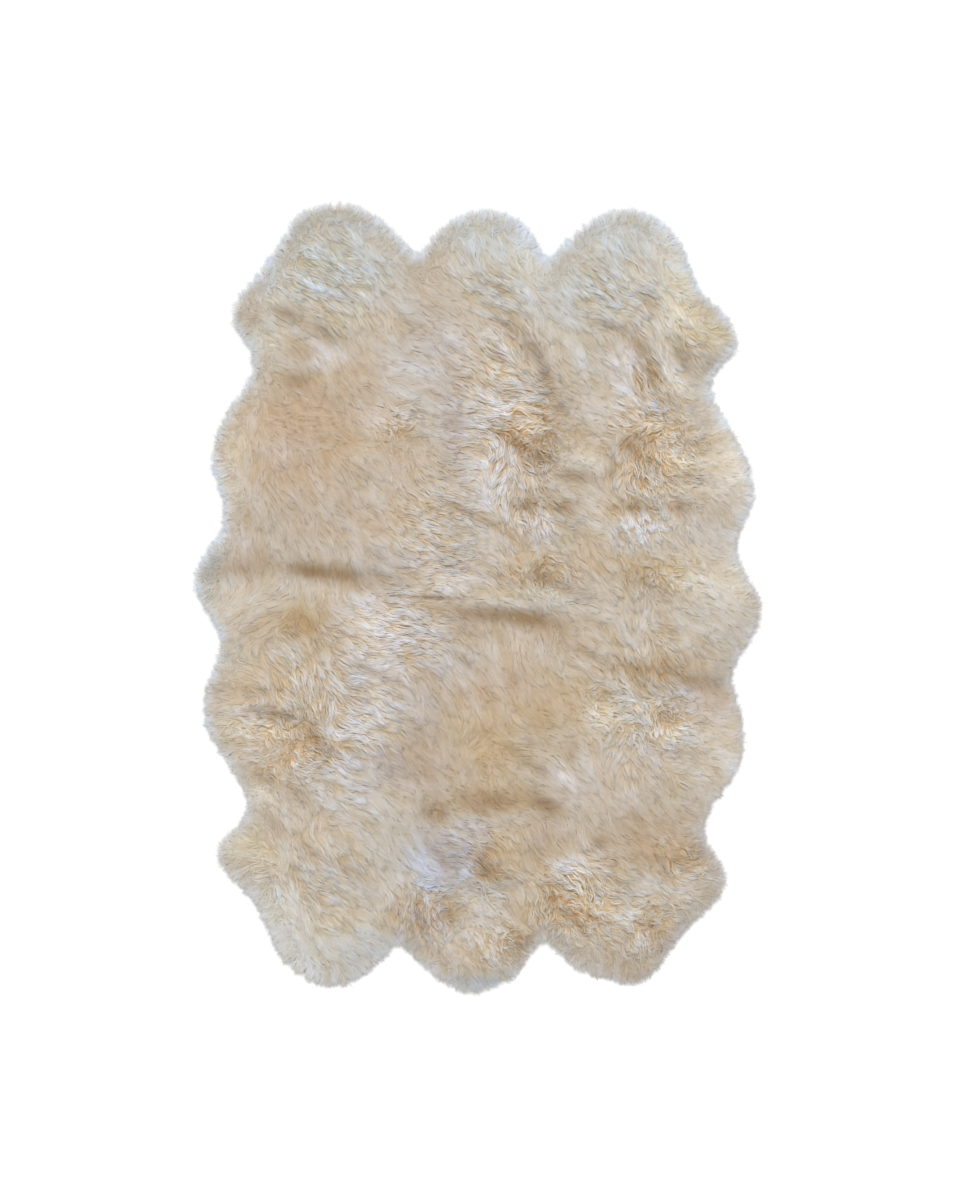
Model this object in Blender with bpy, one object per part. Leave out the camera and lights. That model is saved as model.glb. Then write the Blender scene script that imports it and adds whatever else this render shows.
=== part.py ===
"""Sheepskin rug: six wool pelts sewn three by two, lying flat with the wool up.

Sizes are in millimetres and the model is in metres. +X is the rug's right, +Y its upper end and +Z up.
The origin is on the floor under the middle of the rug's box.
"""
import random
from math import cos, hypot, pi, radians, sin

import bmesh
import bpy
import numpy as np
from mathutils import Vector
from mathutils.geometry import delaunay_2d_cdt

MM = 0.001

# Wool
PILE_HEIGHT = 35.0          # lying wool and hide, over the floor
RIM_HEIGHT = 9.0            # wool at the free rim, where the locks root
RIM_ROLL = 80.0             # width over which the wool rises from the rim
SEAM_GAP = 0.3              # between two pelts along a seam
SEAM_DIP = 5.0              # depth of the parting over a seam
SEAM_DIP_WIDTH = 22.0
SEAM_SETBACK = 16.0         # from the bottom of a notch to where its seam starts

# Locks at the rim
LOCK_REACH = 21.0           # from the slab to the wool's outline
LOCK_REACH_RANGE = (0.82, 1.12)
LOCK_PITCH = 24.0
LOCK_WIDTH = 18.0
LOCK_WIDTH_RANGE = (0.78, 1.06)
LOCK_WAIST = 0.52           # where a lock's middle section lies, as a share of its length
LOCK_WAIST_WIDTH = 0.76
LOCK_WAIST_HEIGHT = 0.74
LOCK_LEAN = 8.0             # degrees to either side
LOCK_CURL = 2.5             # how far a tip bends to either side
LOCK_CLEAR = 6.0            # room kept between a lock and the next seam

# Lumps of the wool: waves of many directions, as rows of count, shortest, longest, height
LUMP_WAVES = (
    (7, 130.0, 230.0, 1.5),
    (8, 62.0, 105.0, 1.0),
)
LUMP_SEED = 11
LOCK_SEED = 5

# Spacing of the mesh's points
TOP_PITCH = 28.0
PATH_STEP = 4.0

# Where seams end or meet: name, x, y
CORNERS = {
    "neck_notch_left": (-137, 782),
    "neck_notch_right": (156, 773),
    "foot_notch_left": (-186, -794),
    "foot_notch_right": (149, -782),
    "rump_left": (-672, 41),
    "rump_right": (670, -34),
    "cross_left": (-160, 5),
    "cross_right": (152, -11),
}

# Seams: name, from, to, how far the middle bows to the left of the way
SEAMS = {
    "neck_left": ("neck_notch_left", "cross_left", 6),
    "neck_right": ("neck_notch_right", "cross_right", -5),
    "foot_left": ("cross_left", "foot_notch_left", -6),
    "foot_right": ("cross_right", "foot_notch_right", 5),
    "rump_left": ("rump_left", "cross_left", -4),
    "rump_middle": ("cross_left", "cross_right", 3),
    "rump_right": ("cross_right", "rump_right", 5),
}

# Outline of the wool round each pelt's free rim, the rug's middle being 0, 0: landmark, x, y.
# A rim runs anticlockwise, from the corner before its table to the corner after it.
UPPER_LEFT_RIM = (
    ("neck_base", -179, 838),
    ("neck_inner", -230, 890),
    ("crown_inner", -284, 920),
    ("crown", -366, 927),
    ("crown_outer", -420, 902),
    ("throat", -488, 796),
    ("leg_front", -558, 715),
    ("leg_tip", -584, 656),
    ("leg_back", -532, 574),
    ("armpit", -534, 518),
    ("chest", -600, 417),
    ("flank", -626, 319),
    ("flank_back", -595, 212),
    ("loin", -602, 151),
    ("rump", -644, 104),
)
UPPER_MIDDLE_RIM = (
    ("neck_right", 139, 834),
    ("crown_right", 92, 888),
    ("crown", 6, 913),
    ("crown_left", -62, 888),
    ("neck_left", -109, 848),
)
UPPER_RIGHT_RIM = (
    ("rump", 651, 20),
    ("loin", 607, 83),
    ("flank_back", 607, 151),
    ("flank_low", 642, 216),
    ("flank", 642, 282),
    ("chest", 586, 408),
    ("armpit", 541, 483),
    ("leg_back", 548, 527),
    ("leg_heel", 595, 562),
    ("leg_tip", 612, 609),
    ("leg_front", 581, 663),
    ("throat", 520, 717),
    ("neck_outer", 485, 806),
    ("crown_outer", 443, 874),
    ("crown", 350, 913),
    ("crown_inner", 277, 899),
    ("neck_inner", 212, 845),
)
LOWER_LEFT_RIM = (
    ("rump", -642, -22),
    ("loin", -602, -104),
    ("loin_low", -623, -172),
    ("flank", -647, -254),
    ("flank_low", -623, -333),
    ("belly", -572, -415),
    ("armpit", -539, -478),
    ("leg_back", -560, -530),
    ("leg_heel", -607, -565),
    ("leg_tip", -612, -621),
    ("leg_front", -558, -672),
    ("throat", -506, -736),
    ("neck_outer", -469, -834),
    ("crown_outer", -413, -888),
    ("crown", -336, -909),
    ("crown_inner", -251, -871),
)
LOWER_MIDDLE_RIM = (
    ("neck_left", -132, -860),
    ("crown_left", -74, -904),
    ("crown", -6, -925),
    ("crown_right", 74, -892),
    ("neck_right", 120, -845),
)
LOWER_RIGHT_RIM = (
    ("neck_inner", 184, -831),
    ("crown_inner", 244, -878),
    ("crown_step", 303, -890),
    ("crown", 368, -909),
    ("crown_outer", 410, -881),
    ("neck_outer", 462, -808),
    ("throat", 516, -745),
    ("leg_front", 567, -703),
    ("leg_tip", 586, -651),
    ("leg_heel", 558, -600),
    ("armpit", 523, -544),
    ("belly", 548, -483),
    ("flank_low", 605, -408),
    ("flank", 621, -315),
    ("flank_back", 609, -242),
    ("loin", 588, -186),
    ("rump", 623, -120),
)

# Pelts: name, rim, colour, and the way round as the rim's first corner and then (seam, forwards)
PELTS = (
    ("pelt_upper_left", UPPER_LEFT_RIM, (0.62, 0.52, 0.40), "neck_notch_left",
     (("rump_left", True), ("neck_left", False))),
    ("pelt_upper_middle", UPPER_MIDDLE_RIM, (0.66, 0.58, 0.47), "neck_notch_right",
     (("neck_left", True), ("rump_middle", True), ("neck_right", False))),
    ("pelt_upper_right", UPPER_RIGHT_RIM, (0.64, 0.54, 0.42), "rump_right",
     (("neck_right", True), ("rump_right", True))),
    ("pelt_lower_left", LOWER_LEFT_RIM, (0.63, 0.53, 0.41), "rump_left",
     (("foot_left", False), ("rump_left", False))),
    ("pelt_lower_middle", LOWER_MIDDLE_RIM, (0.60, 0.49, 0.35), "foot_notch_left",
     (("foot_right", False), ("rump_middle", False), ("foot_left", True))),
    ("pelt_lower_right", LOWER_RIGHT_RIM, (0.61, 0.50, 0.38), "foot_notch_right",
     (("rump_right", False), ("foot_right", True))),
)

# Folds and ridges of the wool: name, x, y, length, width, turn in degrees, height
FOLDS = (
    ("crease_left", -330, 52, 250, 38, -3, -11.0),
    ("crease_left_lip", -320, 14, 240, 34, -3, 3.0),
    ("ridge_right", 95, 10, 260, 36, -3, 4.5),
    ("crease_right", 115, -40, 200, 40, -4, -10.0),
    ("fold_back_upper", 20, 180, 150, 30, -20, -4.0),
    ("fold_back_lower", -215, -165, 150, 30, -26, -4.0),
    ("fold_middle_lower", 20, -165, 120, 32, -38, -5.0),
    ("fold_belly_lower", 105, -390, 150, 34, -32, -4.5),
    ("hollow_shoulder", -425, 530, 110, 46, -70, -4.0),
    ("hollow_nape", 130, 520, 170, 34, -76, -4.0),
    ("hollow_nape_right", 385, 520, 170, 34, -76, -4.0),
    ("swell_neck_left", -330, 740, 200, 120, -35, 3.0),
    ("swell_flank_left", -400, 300, 260, 180, 80, 3.0),
    ("swell_belly_lower", 60, -250, 220, 150, -80, 3.5),
    ("swell_foot_right", 400, -640, 220, 140, -60, 3.0),
)


def clear_scene():
    for old in list(bpy.data.objects):
        bpy.data.objects.remove(old, do_unlink=True)


def smooth_path(points, step=PATH_STEP):
    """Even points, about step apart, on a centripetal Catmull-Rom curve through the given ones."""
    given = np.array(points, float)
    given = np.vstack([2 * given[0] - given[1], given, 2 * given[-1] - given[-2]])
    dense = []
    for p0, p1, p2, p3 in zip(given, given[1:], given[2:], given[3:]):
        t0 = 0.0
        t1 = t0 + hypot(*(p1 - p0)) ** 0.5
        t2 = t1 + hypot(*(p2 - p1)) ** 0.5
        t3 = t2 + hypot(*(p3 - p2)) ** 0.5
        t = np.linspace(t1, t2, 40, endpoint=False)[:, None]
        a1 = (t1 - t) / (t1 - t0) * p0 + (t - t0) / (t1 - t0) * p1
        a2 = (t2 - t) / (t2 - t1) * p1 + (t - t1) / (t2 - t1) * p2
        a3 = (t3 - t) / (t3 - t2) * p2 + (t - t2) / (t3 - t2) * p3
        b1 = (t2 - t) / (t2 - t0) * a1 + (t - t0) / (t2 - t0) * a2
        b2 = (t3 - t) / (t3 - t1) * a2 + (t - t1) / (t3 - t1) * a3
        dense.append((t2 - t) / (t2 - t1) * b1 + (t - t1) / (t2 - t1) * b2)
    dense = np.vstack(dense + [given[-2:-1]])
    return spaced(dense, np.linspace(0, length_along(dense)[-1], 2 + int(length_along(dense)[-1] / step)))


def length_along(path):
    return np.concatenate([[0.0], np.cumsum(np.hypot(*np.diff(path, axis=0).T))])


def spaced(path, stations):
    """Points of a path, or values that go with it, at the given lengths along it."""
    along = length_along(path)
    return np.stack([np.interp(stations, along, path[:, axis]) for axis in (0, 1)], axis=1)


def leftward(path):
    """Unit vectors to the left of a path's way."""
    way = np.gradient(path, axis=0)
    way /= np.hypot(*way.T)[:, None]
    return np.stack([-way[:, 1], way[:, 0]], axis=1)


def distance_to(points, paths):
    """Each point's distance to the nearest of the paths' segments."""
    nearest = np.full(len(points), np.inf)
    for path in paths:
        start = path[:-1]
        span = path[1:] - start
        offset = points[:, None] - start
        share = np.clip((offset * span).sum(2) / (span * span).sum(1), 0, 1)
        gap = offset - share[..., None] * span
        nearest = np.minimum(nearest, np.sqrt((gap * gap).sum(2)).min(1))
    return nearest


def inside(points, loop):
    """Which points lie inside a closed loop: a ray to +X crosses it an odd number of times."""
    x, y = points[:, 0, None], points[:, 1, None]
    x0, y0 = loop.T
    x1, y1 = np.roll(loop, -1, axis=0).T
    with np.errstate(divide="ignore", invalid="ignore"):
        crossing = x0 + (y - y0) * (x1 - x0) / (y1 - y0)
    return (((y0 > y) != (y1 > y)) & (crossing > x)).sum(1) % 2 == 1


def smoothstep(value):
    share = np.clip(value, 0, 1)
    return share * share * (3 - 2 * share)


def seam_path(name):
    """A seam's line: straight between its corners, with a bow, and set back from an open notch."""
    first, last, bow = SEAMS[name]
    start, end = np.array(CORNERS[first], float), np.array(CORNERS[last], float)
    length = hypot(*(end - start))
    way = (end - start) / length
    begin = 0 if first.startswith("cross") else SEAM_SETBACK
    finish = length if last.startswith("cross") else length - SEAM_SETBACK
    along = np.linspace(begin, finish, 2 + round((finish - begin) / TOP_PITCH))[:, None]
    side = np.array([-way[1], way[0]])
    return start + way * along + side * bow * np.sin(pi * along / length)


def rim_paths(rim, first, last, seam_end, seam_start):
    """A pelt's outline over the wool, and the slab's rim inside it, point for point."""
    outline = smooth_path([CORNERS[first], *[(x, y) for _, x, y in rim], CORNERS[last]])
    along = length_along(outline)
    inset = leftward(outline) * LOCK_REACH
    start_share = (1 - smoothstep(along / (3 * LOCK_REACH)))[:, None]
    end_share = (1 - smoothstep((along[-1] - along) / (3 * LOCK_REACH)))[:, None]
    inset += (seam_start - outline[0] - inset) * start_share
    inset += (seam_end - outline[-1] - inset) * end_share
    return outline, outline + inset


def seams_round(way_round):
    """A pelt's seams in turn, each as points along the pelt's way round."""
    return [SEAM_PATHS[name] if forwards else SEAM_PATHS[name][::-1] for name, forwards in way_round]


def pelt_rim(pelt):
    """The outline over one pelt's wool, and its slab's rim."""
    _, rim, _, first, way_round = pelt
    seam, forwards = way_round[0]
    seams = seams_round(way_round)
    return rim_paths(rim, first, SEAMS[seam][0 if forwards else 1], seams[0][0], seams[-1][-1])


def slab_loop(pelt):
    """The slab's outline anticlockwise, and its locks as (place of the wall, reach, curl of the tip)."""
    outline, rim_line = pelt_rim(pelt)
    along = length_along(rim_line)
    margin = LOCK_WIDTH / 2 + LOCK_CLEAR
    count = int((along[-1] - 2 * margin) / LOCK_PITCH) + 1
    centres = np.linspace(margin, along[-1] - margin, count)
    reaches = np.stack([np.interp(centres, along, (outline - rim_line)[:, axis]) for axis in (0, 1)], 1)
    chance = random.Random(f"{LOCK_SEED} {pelt[0]}")
    corners, locks = [], []
    for place, (centre, reach) in enumerate(zip(centres, reaches)):
        half = LOCK_WIDTH / 2 * chance.uniform(*LOCK_WIDTH_RANGE)
        lean = radians(chance.uniform(-LOCK_LEAN, LOCK_LEAN))
        curl = chance.uniform(-LOCK_CURL, LOCK_CURL)
        size = chance.uniform(*LOCK_REACH_RANGE)
        if min(place, count - 1 - place) < 2:
            lean = curl = 0.0
        turned = np.array([reach[0] * cos(lean) - reach[1] * sin(lean),
                           reach[0] * sin(lean) + reach[1] * cos(lean)])
        corners += [centre - half, centre + half]
        locks.append((1 + 2 * place, turned * size, curl))
    seam_points = parted_seams(seams_round(pelt[4]))
    return np.vstack([seam_points[-1:], spaced(rim_line, corners), seam_points[:-1]]), locks


def parted_seams(seams):
    """The seams' points in turn, each moved into the pelt by half the gap between two pelts."""
    moved = [path + leftward(path) * SEAM_GAP / 2 for path in seams]
    points = [moved[0][:-1]]
    for before, after, path in zip(moved, moved[1:], seams[1:]):
        points.append(before[-1:] + after[:1] - path[:1])
        points.append(after[1:-1])
    points.append(moved[-1][-1:])
    return np.vstack(points)


def lump_waves():
    """Waves of the lumps: x and y turns per millimetre, phase and height."""
    chance = random.Random(LUMP_SEED)
    waves = []
    for count, shortest, longest, height in LUMP_WAVES:
        for _ in range(count):
            turn = chance.uniform(0, pi)
            pace = 2 * pi / chance.uniform(shortest, longest)
            waves.append((pace * cos(turn), pace * sin(turn), chance.uniform(0, 2 * pi), height))
    return waves


def wool_height(points):
    """Height of the wool's lying surface: a rise from the rim, partings at seams, folds and lumps."""
    x, y = points.T
    lumps = sum(height * np.sin(kx * x + ky * y + phase) for kx, ky, phase, height in lump_waves())
    folds = np.zeros(len(points))
    for _, fold_x, fold_y, length, width, turn, height in FOLDS:
        across = cos(radians(turn)), sin(radians(turn))
        u = (x - fold_x) * across[0] + (y - fold_y) * across[1]
        v = (y - fold_y) * across[0] - (x - fold_x) * across[1]
        folds += height * np.exp(-(u / (length / 2)) ** 4) * np.exp(-(v / (width / 2)) ** 2)
    parting = SEAM_DIP * np.exp(-(distance_to(points, SEAM_PATHS.values()) / SEAM_DIP_WIDTH) ** 2)
    rise = np.sin(np.clip(distance_to(points, RIM_LINES) / RIM_ROLL, 0, 1) * pi / 2)
    return RIM_HEIGHT + (PILE_HEIGHT - RIM_HEIGHT + lumps + folds - parting) * rise


def grid_inside(loop, pitch, clear):
    """Points of a triangular grid inside a loop, at least clear from it."""
    low, high = loop.min(0), loop.max(0)
    rows = np.arange(low[1], high[1], pitch * 0.866)
    points = []
    for number, y in enumerate(rows):
        start = low[0] + (pitch / 2 if number % 2 else 0)
        points += [(x, y) for x in np.arange(start, high[0], pitch)]
    points = np.array(points)
    points = points[inside(points, loop)]
    closed = np.vstack([loop, loop[:1]])
    return points[distance_to(points, [closed]) > clear]


def triangles(points, loop_length):
    """Triangles over points of which the first ones are the loop round the rest."""
    edges = [(place, (place + 1) % loop_length) for place in range(loop_length)]
    made = delaunay_2d_cdt([Vector(point) for point in points], edges, [], 1, 1e-6)
    return [[made[3][corner][0] for corner in face] for face in made[2]]


def raise_lock(mesh, wall, reach, curl):
    """One lock drawn out of a wall face: a flat-bottomed prism that tapers to a tip on the floor."""
    middle = wall.calc_center_median()
    cap = bmesh.ops.extrude_discrete_faces(mesh, faces=[wall])["faces"][0]
    way = Vector((reach[0], reach[1], 0))
    side = Vector((-reach[1], reach[0], 0)).normalized()
    for corner in cap.verts:
        offset = corner.co - middle
        corner.co.x = middle.x + offset.x * LOCK_WAIST_WIDTH + way.x * LOCK_WAIST
        corner.co.y = middle.y + offset.y * LOCK_WAIST_WIDTH + way.y * LOCK_WAIST
        corner.co.z *= LOCK_WAIST_HEIGHT
    tip = bmesh.ops.poke(mesh, faces=[cap])["verts"][0]
    tip.co = Vector((middle.x, middle.y, 0)) + way + side * curl


def slab_mesh(pelt):
    """One pelt: a lumpy slab of wool with a flat underside, and locks along its free rim."""
    loop, locks = slab_loop(pelt)
    points = np.vstack([loop, grid_inside(loop, TOP_PITCH, TOP_PITCH * 0.55)])
    mesh = bmesh.new()
    top = [mesh.verts.new((x, y, z)) for (x, y), z in zip(points, wool_height(points))]
    floor = [mesh.verts.new((x, y, 0)) for x, y in loop]
    for corners in triangles(points, len(loop)):
        mesh.faces.new([top[corner] for corner in corners])
    for corners in triangles(loop, len(loop)):
        mesh.faces.new([floor[corner] for corner in reversed(corners)])
    walls = []
    for place in range(len(loop)):
        after = (place + 1) % len(loop)
        walls.append(mesh.faces.new((floor[place], floor[after], top[after], top[place])))
    for place, reach, curl in locks:
        raise_lock(mesh, walls[place], reach, curl)
    return mesh


def wool_material(name, colour):
    material = bpy.data.materials.new(f"{name}_wool")
    material.use_nodes = True
    surface = material.node_tree.nodes["Principled BSDF"]
    surface.inputs["Base Color"].default_value = (*colour, 1)
    surface.inputs["Roughness"].default_value = 0.95
    surface.inputs["Metallic"].default_value = 0
    return material


def build_rug():
    """The six pelts, moved together so that the middle of the rug's box is over the origin."""
    meshes = {pelt[0]: slab_mesh(pelt) for pelt in PELTS}
    places = np.array([point.co[:2] for mesh in meshes.values() for point in mesh.verts])
    middle = (places.min(0) + places.max(0)) / 2
    for name, _, colour, _, _ in PELTS:
        mesh = meshes[name]
        bmesh.ops.translate(mesh, verts=mesh.verts, vec=(-middle[0], -middle[1], 0))
        bmesh.ops.scale(mesh, verts=mesh.verts, vec=(MM, MM, MM))
        data = bpy.data.meshes.new(name)
        mesh.to_mesh(data)
        mesh.free()
        data.shade_smooth()
        data.set_sharp_from_angle(angle=radians(50))
        data.materials.append(wool_material(name, colour))
        bpy.context.scene.collection.objects.link(bpy.data.objects.new(name, data))


clear_scene()
SEAM_PATHS = {name: seam_path(name) for name in SEAMS}
RIM_LINES = [pelt_rim(pelt)[1] for pelt in PELTS]
build_rug()
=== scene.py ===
# Looks of a rug sewn from six sheepskins, three across and two end to end, seen from straight above.
import math

import bpy
import numpy as np
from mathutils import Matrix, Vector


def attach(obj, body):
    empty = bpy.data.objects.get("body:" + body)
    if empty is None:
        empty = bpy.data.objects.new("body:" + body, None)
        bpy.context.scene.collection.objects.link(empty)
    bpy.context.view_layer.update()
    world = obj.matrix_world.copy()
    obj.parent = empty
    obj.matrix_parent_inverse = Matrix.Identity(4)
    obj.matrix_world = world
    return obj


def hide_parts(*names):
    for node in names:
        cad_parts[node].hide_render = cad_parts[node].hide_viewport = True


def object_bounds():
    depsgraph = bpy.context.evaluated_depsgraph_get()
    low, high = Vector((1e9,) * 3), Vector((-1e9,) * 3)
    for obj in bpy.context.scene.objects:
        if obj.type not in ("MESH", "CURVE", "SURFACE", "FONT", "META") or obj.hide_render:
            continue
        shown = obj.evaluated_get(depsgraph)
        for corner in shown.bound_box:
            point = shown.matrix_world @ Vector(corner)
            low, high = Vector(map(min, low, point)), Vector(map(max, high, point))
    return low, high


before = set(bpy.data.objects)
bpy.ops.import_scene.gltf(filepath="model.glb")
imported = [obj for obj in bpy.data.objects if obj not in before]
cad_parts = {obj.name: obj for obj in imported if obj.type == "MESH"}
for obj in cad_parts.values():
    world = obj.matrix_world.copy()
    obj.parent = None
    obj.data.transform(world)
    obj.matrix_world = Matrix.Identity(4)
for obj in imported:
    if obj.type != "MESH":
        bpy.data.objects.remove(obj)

cadBox = [list(corner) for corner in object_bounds()]
rng = np.random.default_rng(41)
pelts = sorted(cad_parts)
print("frame loaded:", len(pelts), "pelts")

# Positions in the tables below are millimetres on the rug, x to the right and y to the neck end.
rugMiddle = np.array([0.0022, -0.0029])     # where the tables' zero lies in the frame, in metres


def onRug(millimetres):  # table positions to metres in the frame
    return np.asarray(millimetres, float) * 0.001 + rugMiddle


def smooth(low, high, value):  # 0 below low, 1 above high, an even S between them
    t = np.clip((value - low) / (high - low), 0, 1)
    return t * t * (3 - 2 * t)


def unit(arrows, least=1e-9):  # arrows over their own lengths, those shorter than least over least
    return arrows / np.maximum(np.linalg.norm(arrows, axis=-1, keepdims=True), least)


def turned(arrows, angle):  # flat arrows turned anticlockwise through an angle in radians
    c, s = np.cos(angle), np.sin(angle)
    x, y = arrows[..., 0], arrows[..., 1]
    return np.stack([x * c - y * s, x * s + y * c], -1)


def linear(shade):  # a colour as seen on a screen, 0 to 255, to light
    value = np.asarray(shade, float) / 255
    return np.where(value <= 0.04045, value / 12.92, ((value + 0.055) / 1.055) ** 2.4)


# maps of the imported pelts, so that every piece follows the frame
mapSettings = {
    "cell": 0.004,              # size of a map cell
    "border": 0.09,             # empty margin round the rug
    "sampleStep": 0.0028,       # spacing of the points read from the tops of the pelts
    "outlineSoften": 0.011,     # how far the rim's locks melt into one line
    "rimSoften": 0.006,         # how far the distance from that line is evened
    "outwardSoften": 0.016,     # and the way that points out over it
    "seamSoften": 0.012,        # how far the pelts' locks melt into one line along a seam
    "spreadSoften": 0.014,      # how far the wool's height carries past the rim
    "floorFall": 0.012,         # how fast it dies away there
    "heightSoften": 0.005,
    "heights": (0.001, 0.06),   # least and greatest height of the wool
    "leastShare": 0.02,         # no share of wool counts as less than this when it divides
    "meetShare": 0.2,           # where four pelts meet, the third still has this share of the wool
    "meetInset": 0.1,           # and the outline is at least this far away
}
cell = mapSettings["cell"]
mapLow = np.array(cadBox[0][:2]) - mapSettings["border"]
mapSize = np.ptp(cadBox, axis=0)[:2] + 2 * mapSettings["border"]
mapShape = tuple(int(math.ceil(size / cell)) for size in mapSize[::-1])


def topPoints(node):  # even points on a pelt's upward faces: corner + a times a side + b times the other
    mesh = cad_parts[node].data
    places = np.zeros(len(mesh.vertices) * 3, np.float32)
    mesh.vertices.foreach_get("co", places)
    mesh.calc_loop_triangles()
    corners = np.zeros(len(mesh.loop_triangles) * 3, np.int32)
    mesh.loop_triangles.foreach_get("vertices", corners)
    corner, second, third = np.moveaxis(places.reshape(-1, 3)[corners.reshape(-1, 3)], 1, 0)
    sideA, sideB = second - corner, third - corner
    upward = np.cross(sideA, sideB)[:, 2] > 1e-9
    longest = max(np.linalg.norm(sideA, axis=1).max(), np.linalg.norm(sideB, axis=1).max())
    a, b = np.meshgrid(*[np.linspace(0, 1, int(longest / mapSettings["sampleStep"]) + 2)] * 2)
    a, b = a[a + b <= 1.0001], b[a + b <= 1.0001]
    spread = corner[upward, None] + sideA[upward, None] * a[:, None] + sideB[upward, None] * b[:, None]
    return spread.reshape(-1, 3)


def blurred(field, metres):  # a round Gaussian blur, first along one way of the map and then the other
    cells = metres / cell
    reach = int(3 * cells + 1)
    weights = np.exp(-0.5 * (np.arange(-reach, reach + 1) / cells) ** 2)
    weights /= weights.sum()
    for axis in (0, 1):
        padding = [(reach, reach) if i == axis else (0, 0) for i in range(field.ndim)]
        wide = np.pad(field, padding, mode="edge")
        places = np.arange(field.shape[axis])
        field = sum(weight * np.take(wide, places + i, axis) for i, weight in enumerate(weights))
    return field


def nearest(target):
    # metres to the nearest target cell by jump flooding: every cell asks those a step away which one they
    # know, and the step is halved each round
    rows, columns = np.indices(target.shape)
    seedRow, seedColumn = np.where(target, rows, 9999), np.where(target, columns, 9999)
    step = 256
    while step:
        for down in (-step, 0, step):
            for right in (-step, 0, step):
                askedRow = np.roll(seedRow, (down, right), (0, 1))
                askedColumn = np.roll(seedColumn, (down, right), (0, 1))
                closer = (np.hypot(askedRow - rows, askedColumn - columns)
                          < np.hypot(seedRow - rows, seedColumn - columns))
                seedRow = np.where(closer, askedRow, seedRow)
                seedColumn = np.where(closer, askedColumn, seedColumn)
        step //= 2
    return np.hypot(seedRow - rows, seedColumn - columns) * cell


def sampled(field, points):  # reads a map between its cells, two ways
    place = (points[..., :2] - mapLow) / cell - 0.5
    column = np.clip(place[..., 0], 0, mapShape[1] - 1.001)
    row = np.clip(place[..., 1], 0, mapShape[0] - 1.001)
    c, r = column.astype(int), row.astype(int)
    u, v = column - c, row - r
    if field.ndim == 3:
        u, v = u[..., None], v[..., None]
    return ((field[r, c] * (1 - u) + field[r, c + 1] * u) * (1 - v)
            + (field[r + 1, c] * (1 - u) + field[r + 1, c + 1] * u) * v)


cellColumns, cellRows = np.meshgrid(np.arange(mapShape[1]), np.arange(mapShape[0]))
cellPoints = mapLow + (np.stack([cellColumns, cellRows], -1) + 0.5) * cell


def howFar(x, y, halfWidth, halfLength, turn=0):
    # each cell's place in an ellipse, 0 in its middle and 1 on its edge: x over the half width, squared,
    # plus y over the half length, squared, along the ellipse's own two ways
    away = turned((cellPoints - onRug((x, y))) * 1000, -math.radians(turn))
    return (away[..., 0] / halfWidth) ** 2 + (away[..., 1] / halfLength) ** 2


layers = np.zeros((len(pelts),) + mapShape)
for layer, pelt in zip(layers, pelts):
    points = topPoints(pelt)
    index = ((points[:, :2] - mapLow) / cell).astype(int)
    np.maximum.at(layer, (index[:, 1], index[:, 0]), points[:, 2])
woolHeight = layers.max(0)
inside = woolHeight > 0
ownerMap = layers.argmax(0)

softInside = blurred(inside.astype(float), mapSettings["outlineSoften"])
outlineCells = softInside > 0.5
# metres inside the outline, and the way out over it
fromRim = blurred(nearest(~outlineCells) - nearest(outlineCells), mapSettings["rimSoften"])
rise, run = np.gradient(blurred(fromRim, mapSettings["outwardSoften"]))
outward = -unit(np.stack([run, rise], -1))

spreadHeight = blurred(np.where(inside, woolHeight, 0), mapSettings["spreadSoften"])
spreadHeight = spreadHeight / np.maximum(softInside, mapSettings["leastShare"])
fallen = np.exp(-np.maximum(-fromRim, 0) / mapSettings["floorFall"])
heightMap = np.clip(np.where(inside, woolHeight, spreadHeight * fallen), *mapSettings["heights"])
heightMap = blurred(heightMap, mapSettings["heightSoften"])

# how far each place lies inside each pelt, measured from its seams: half the lead of the pelt's share of
# the wool over the next pelt's, over that share's slope at a straight seam
soften = mapSettings["seamSoften"]
shares = np.array([blurred((inside & (ownerMap == i)).astype(float), soften) for i in range(len(pelts))])
shares = shares / np.maximum(blurred(inside.astype(float), soften), mapSettings["leastShare"])
ranked = np.sort(shares, axis=0)
lead = shares - np.where(shares >= ranked[-1], ranked[-2], ranked[-1])
peltDepth = dict(zip(pelts, 0.5 * lead * soften * math.sqrt(2 * math.pi)))
# the two places where four pelts meet, on the left and on the right
meeting = cellPoints[(ranked[-3] > mapSettings["meetShare"]) & (fromRim > mapSettings["meetInset"])]
junctions = [meeting[meeting[:, 0] * side > 0].mean(0) for side in (-1, 1)]
print("maps of the pelts:", mapShape)


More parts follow.
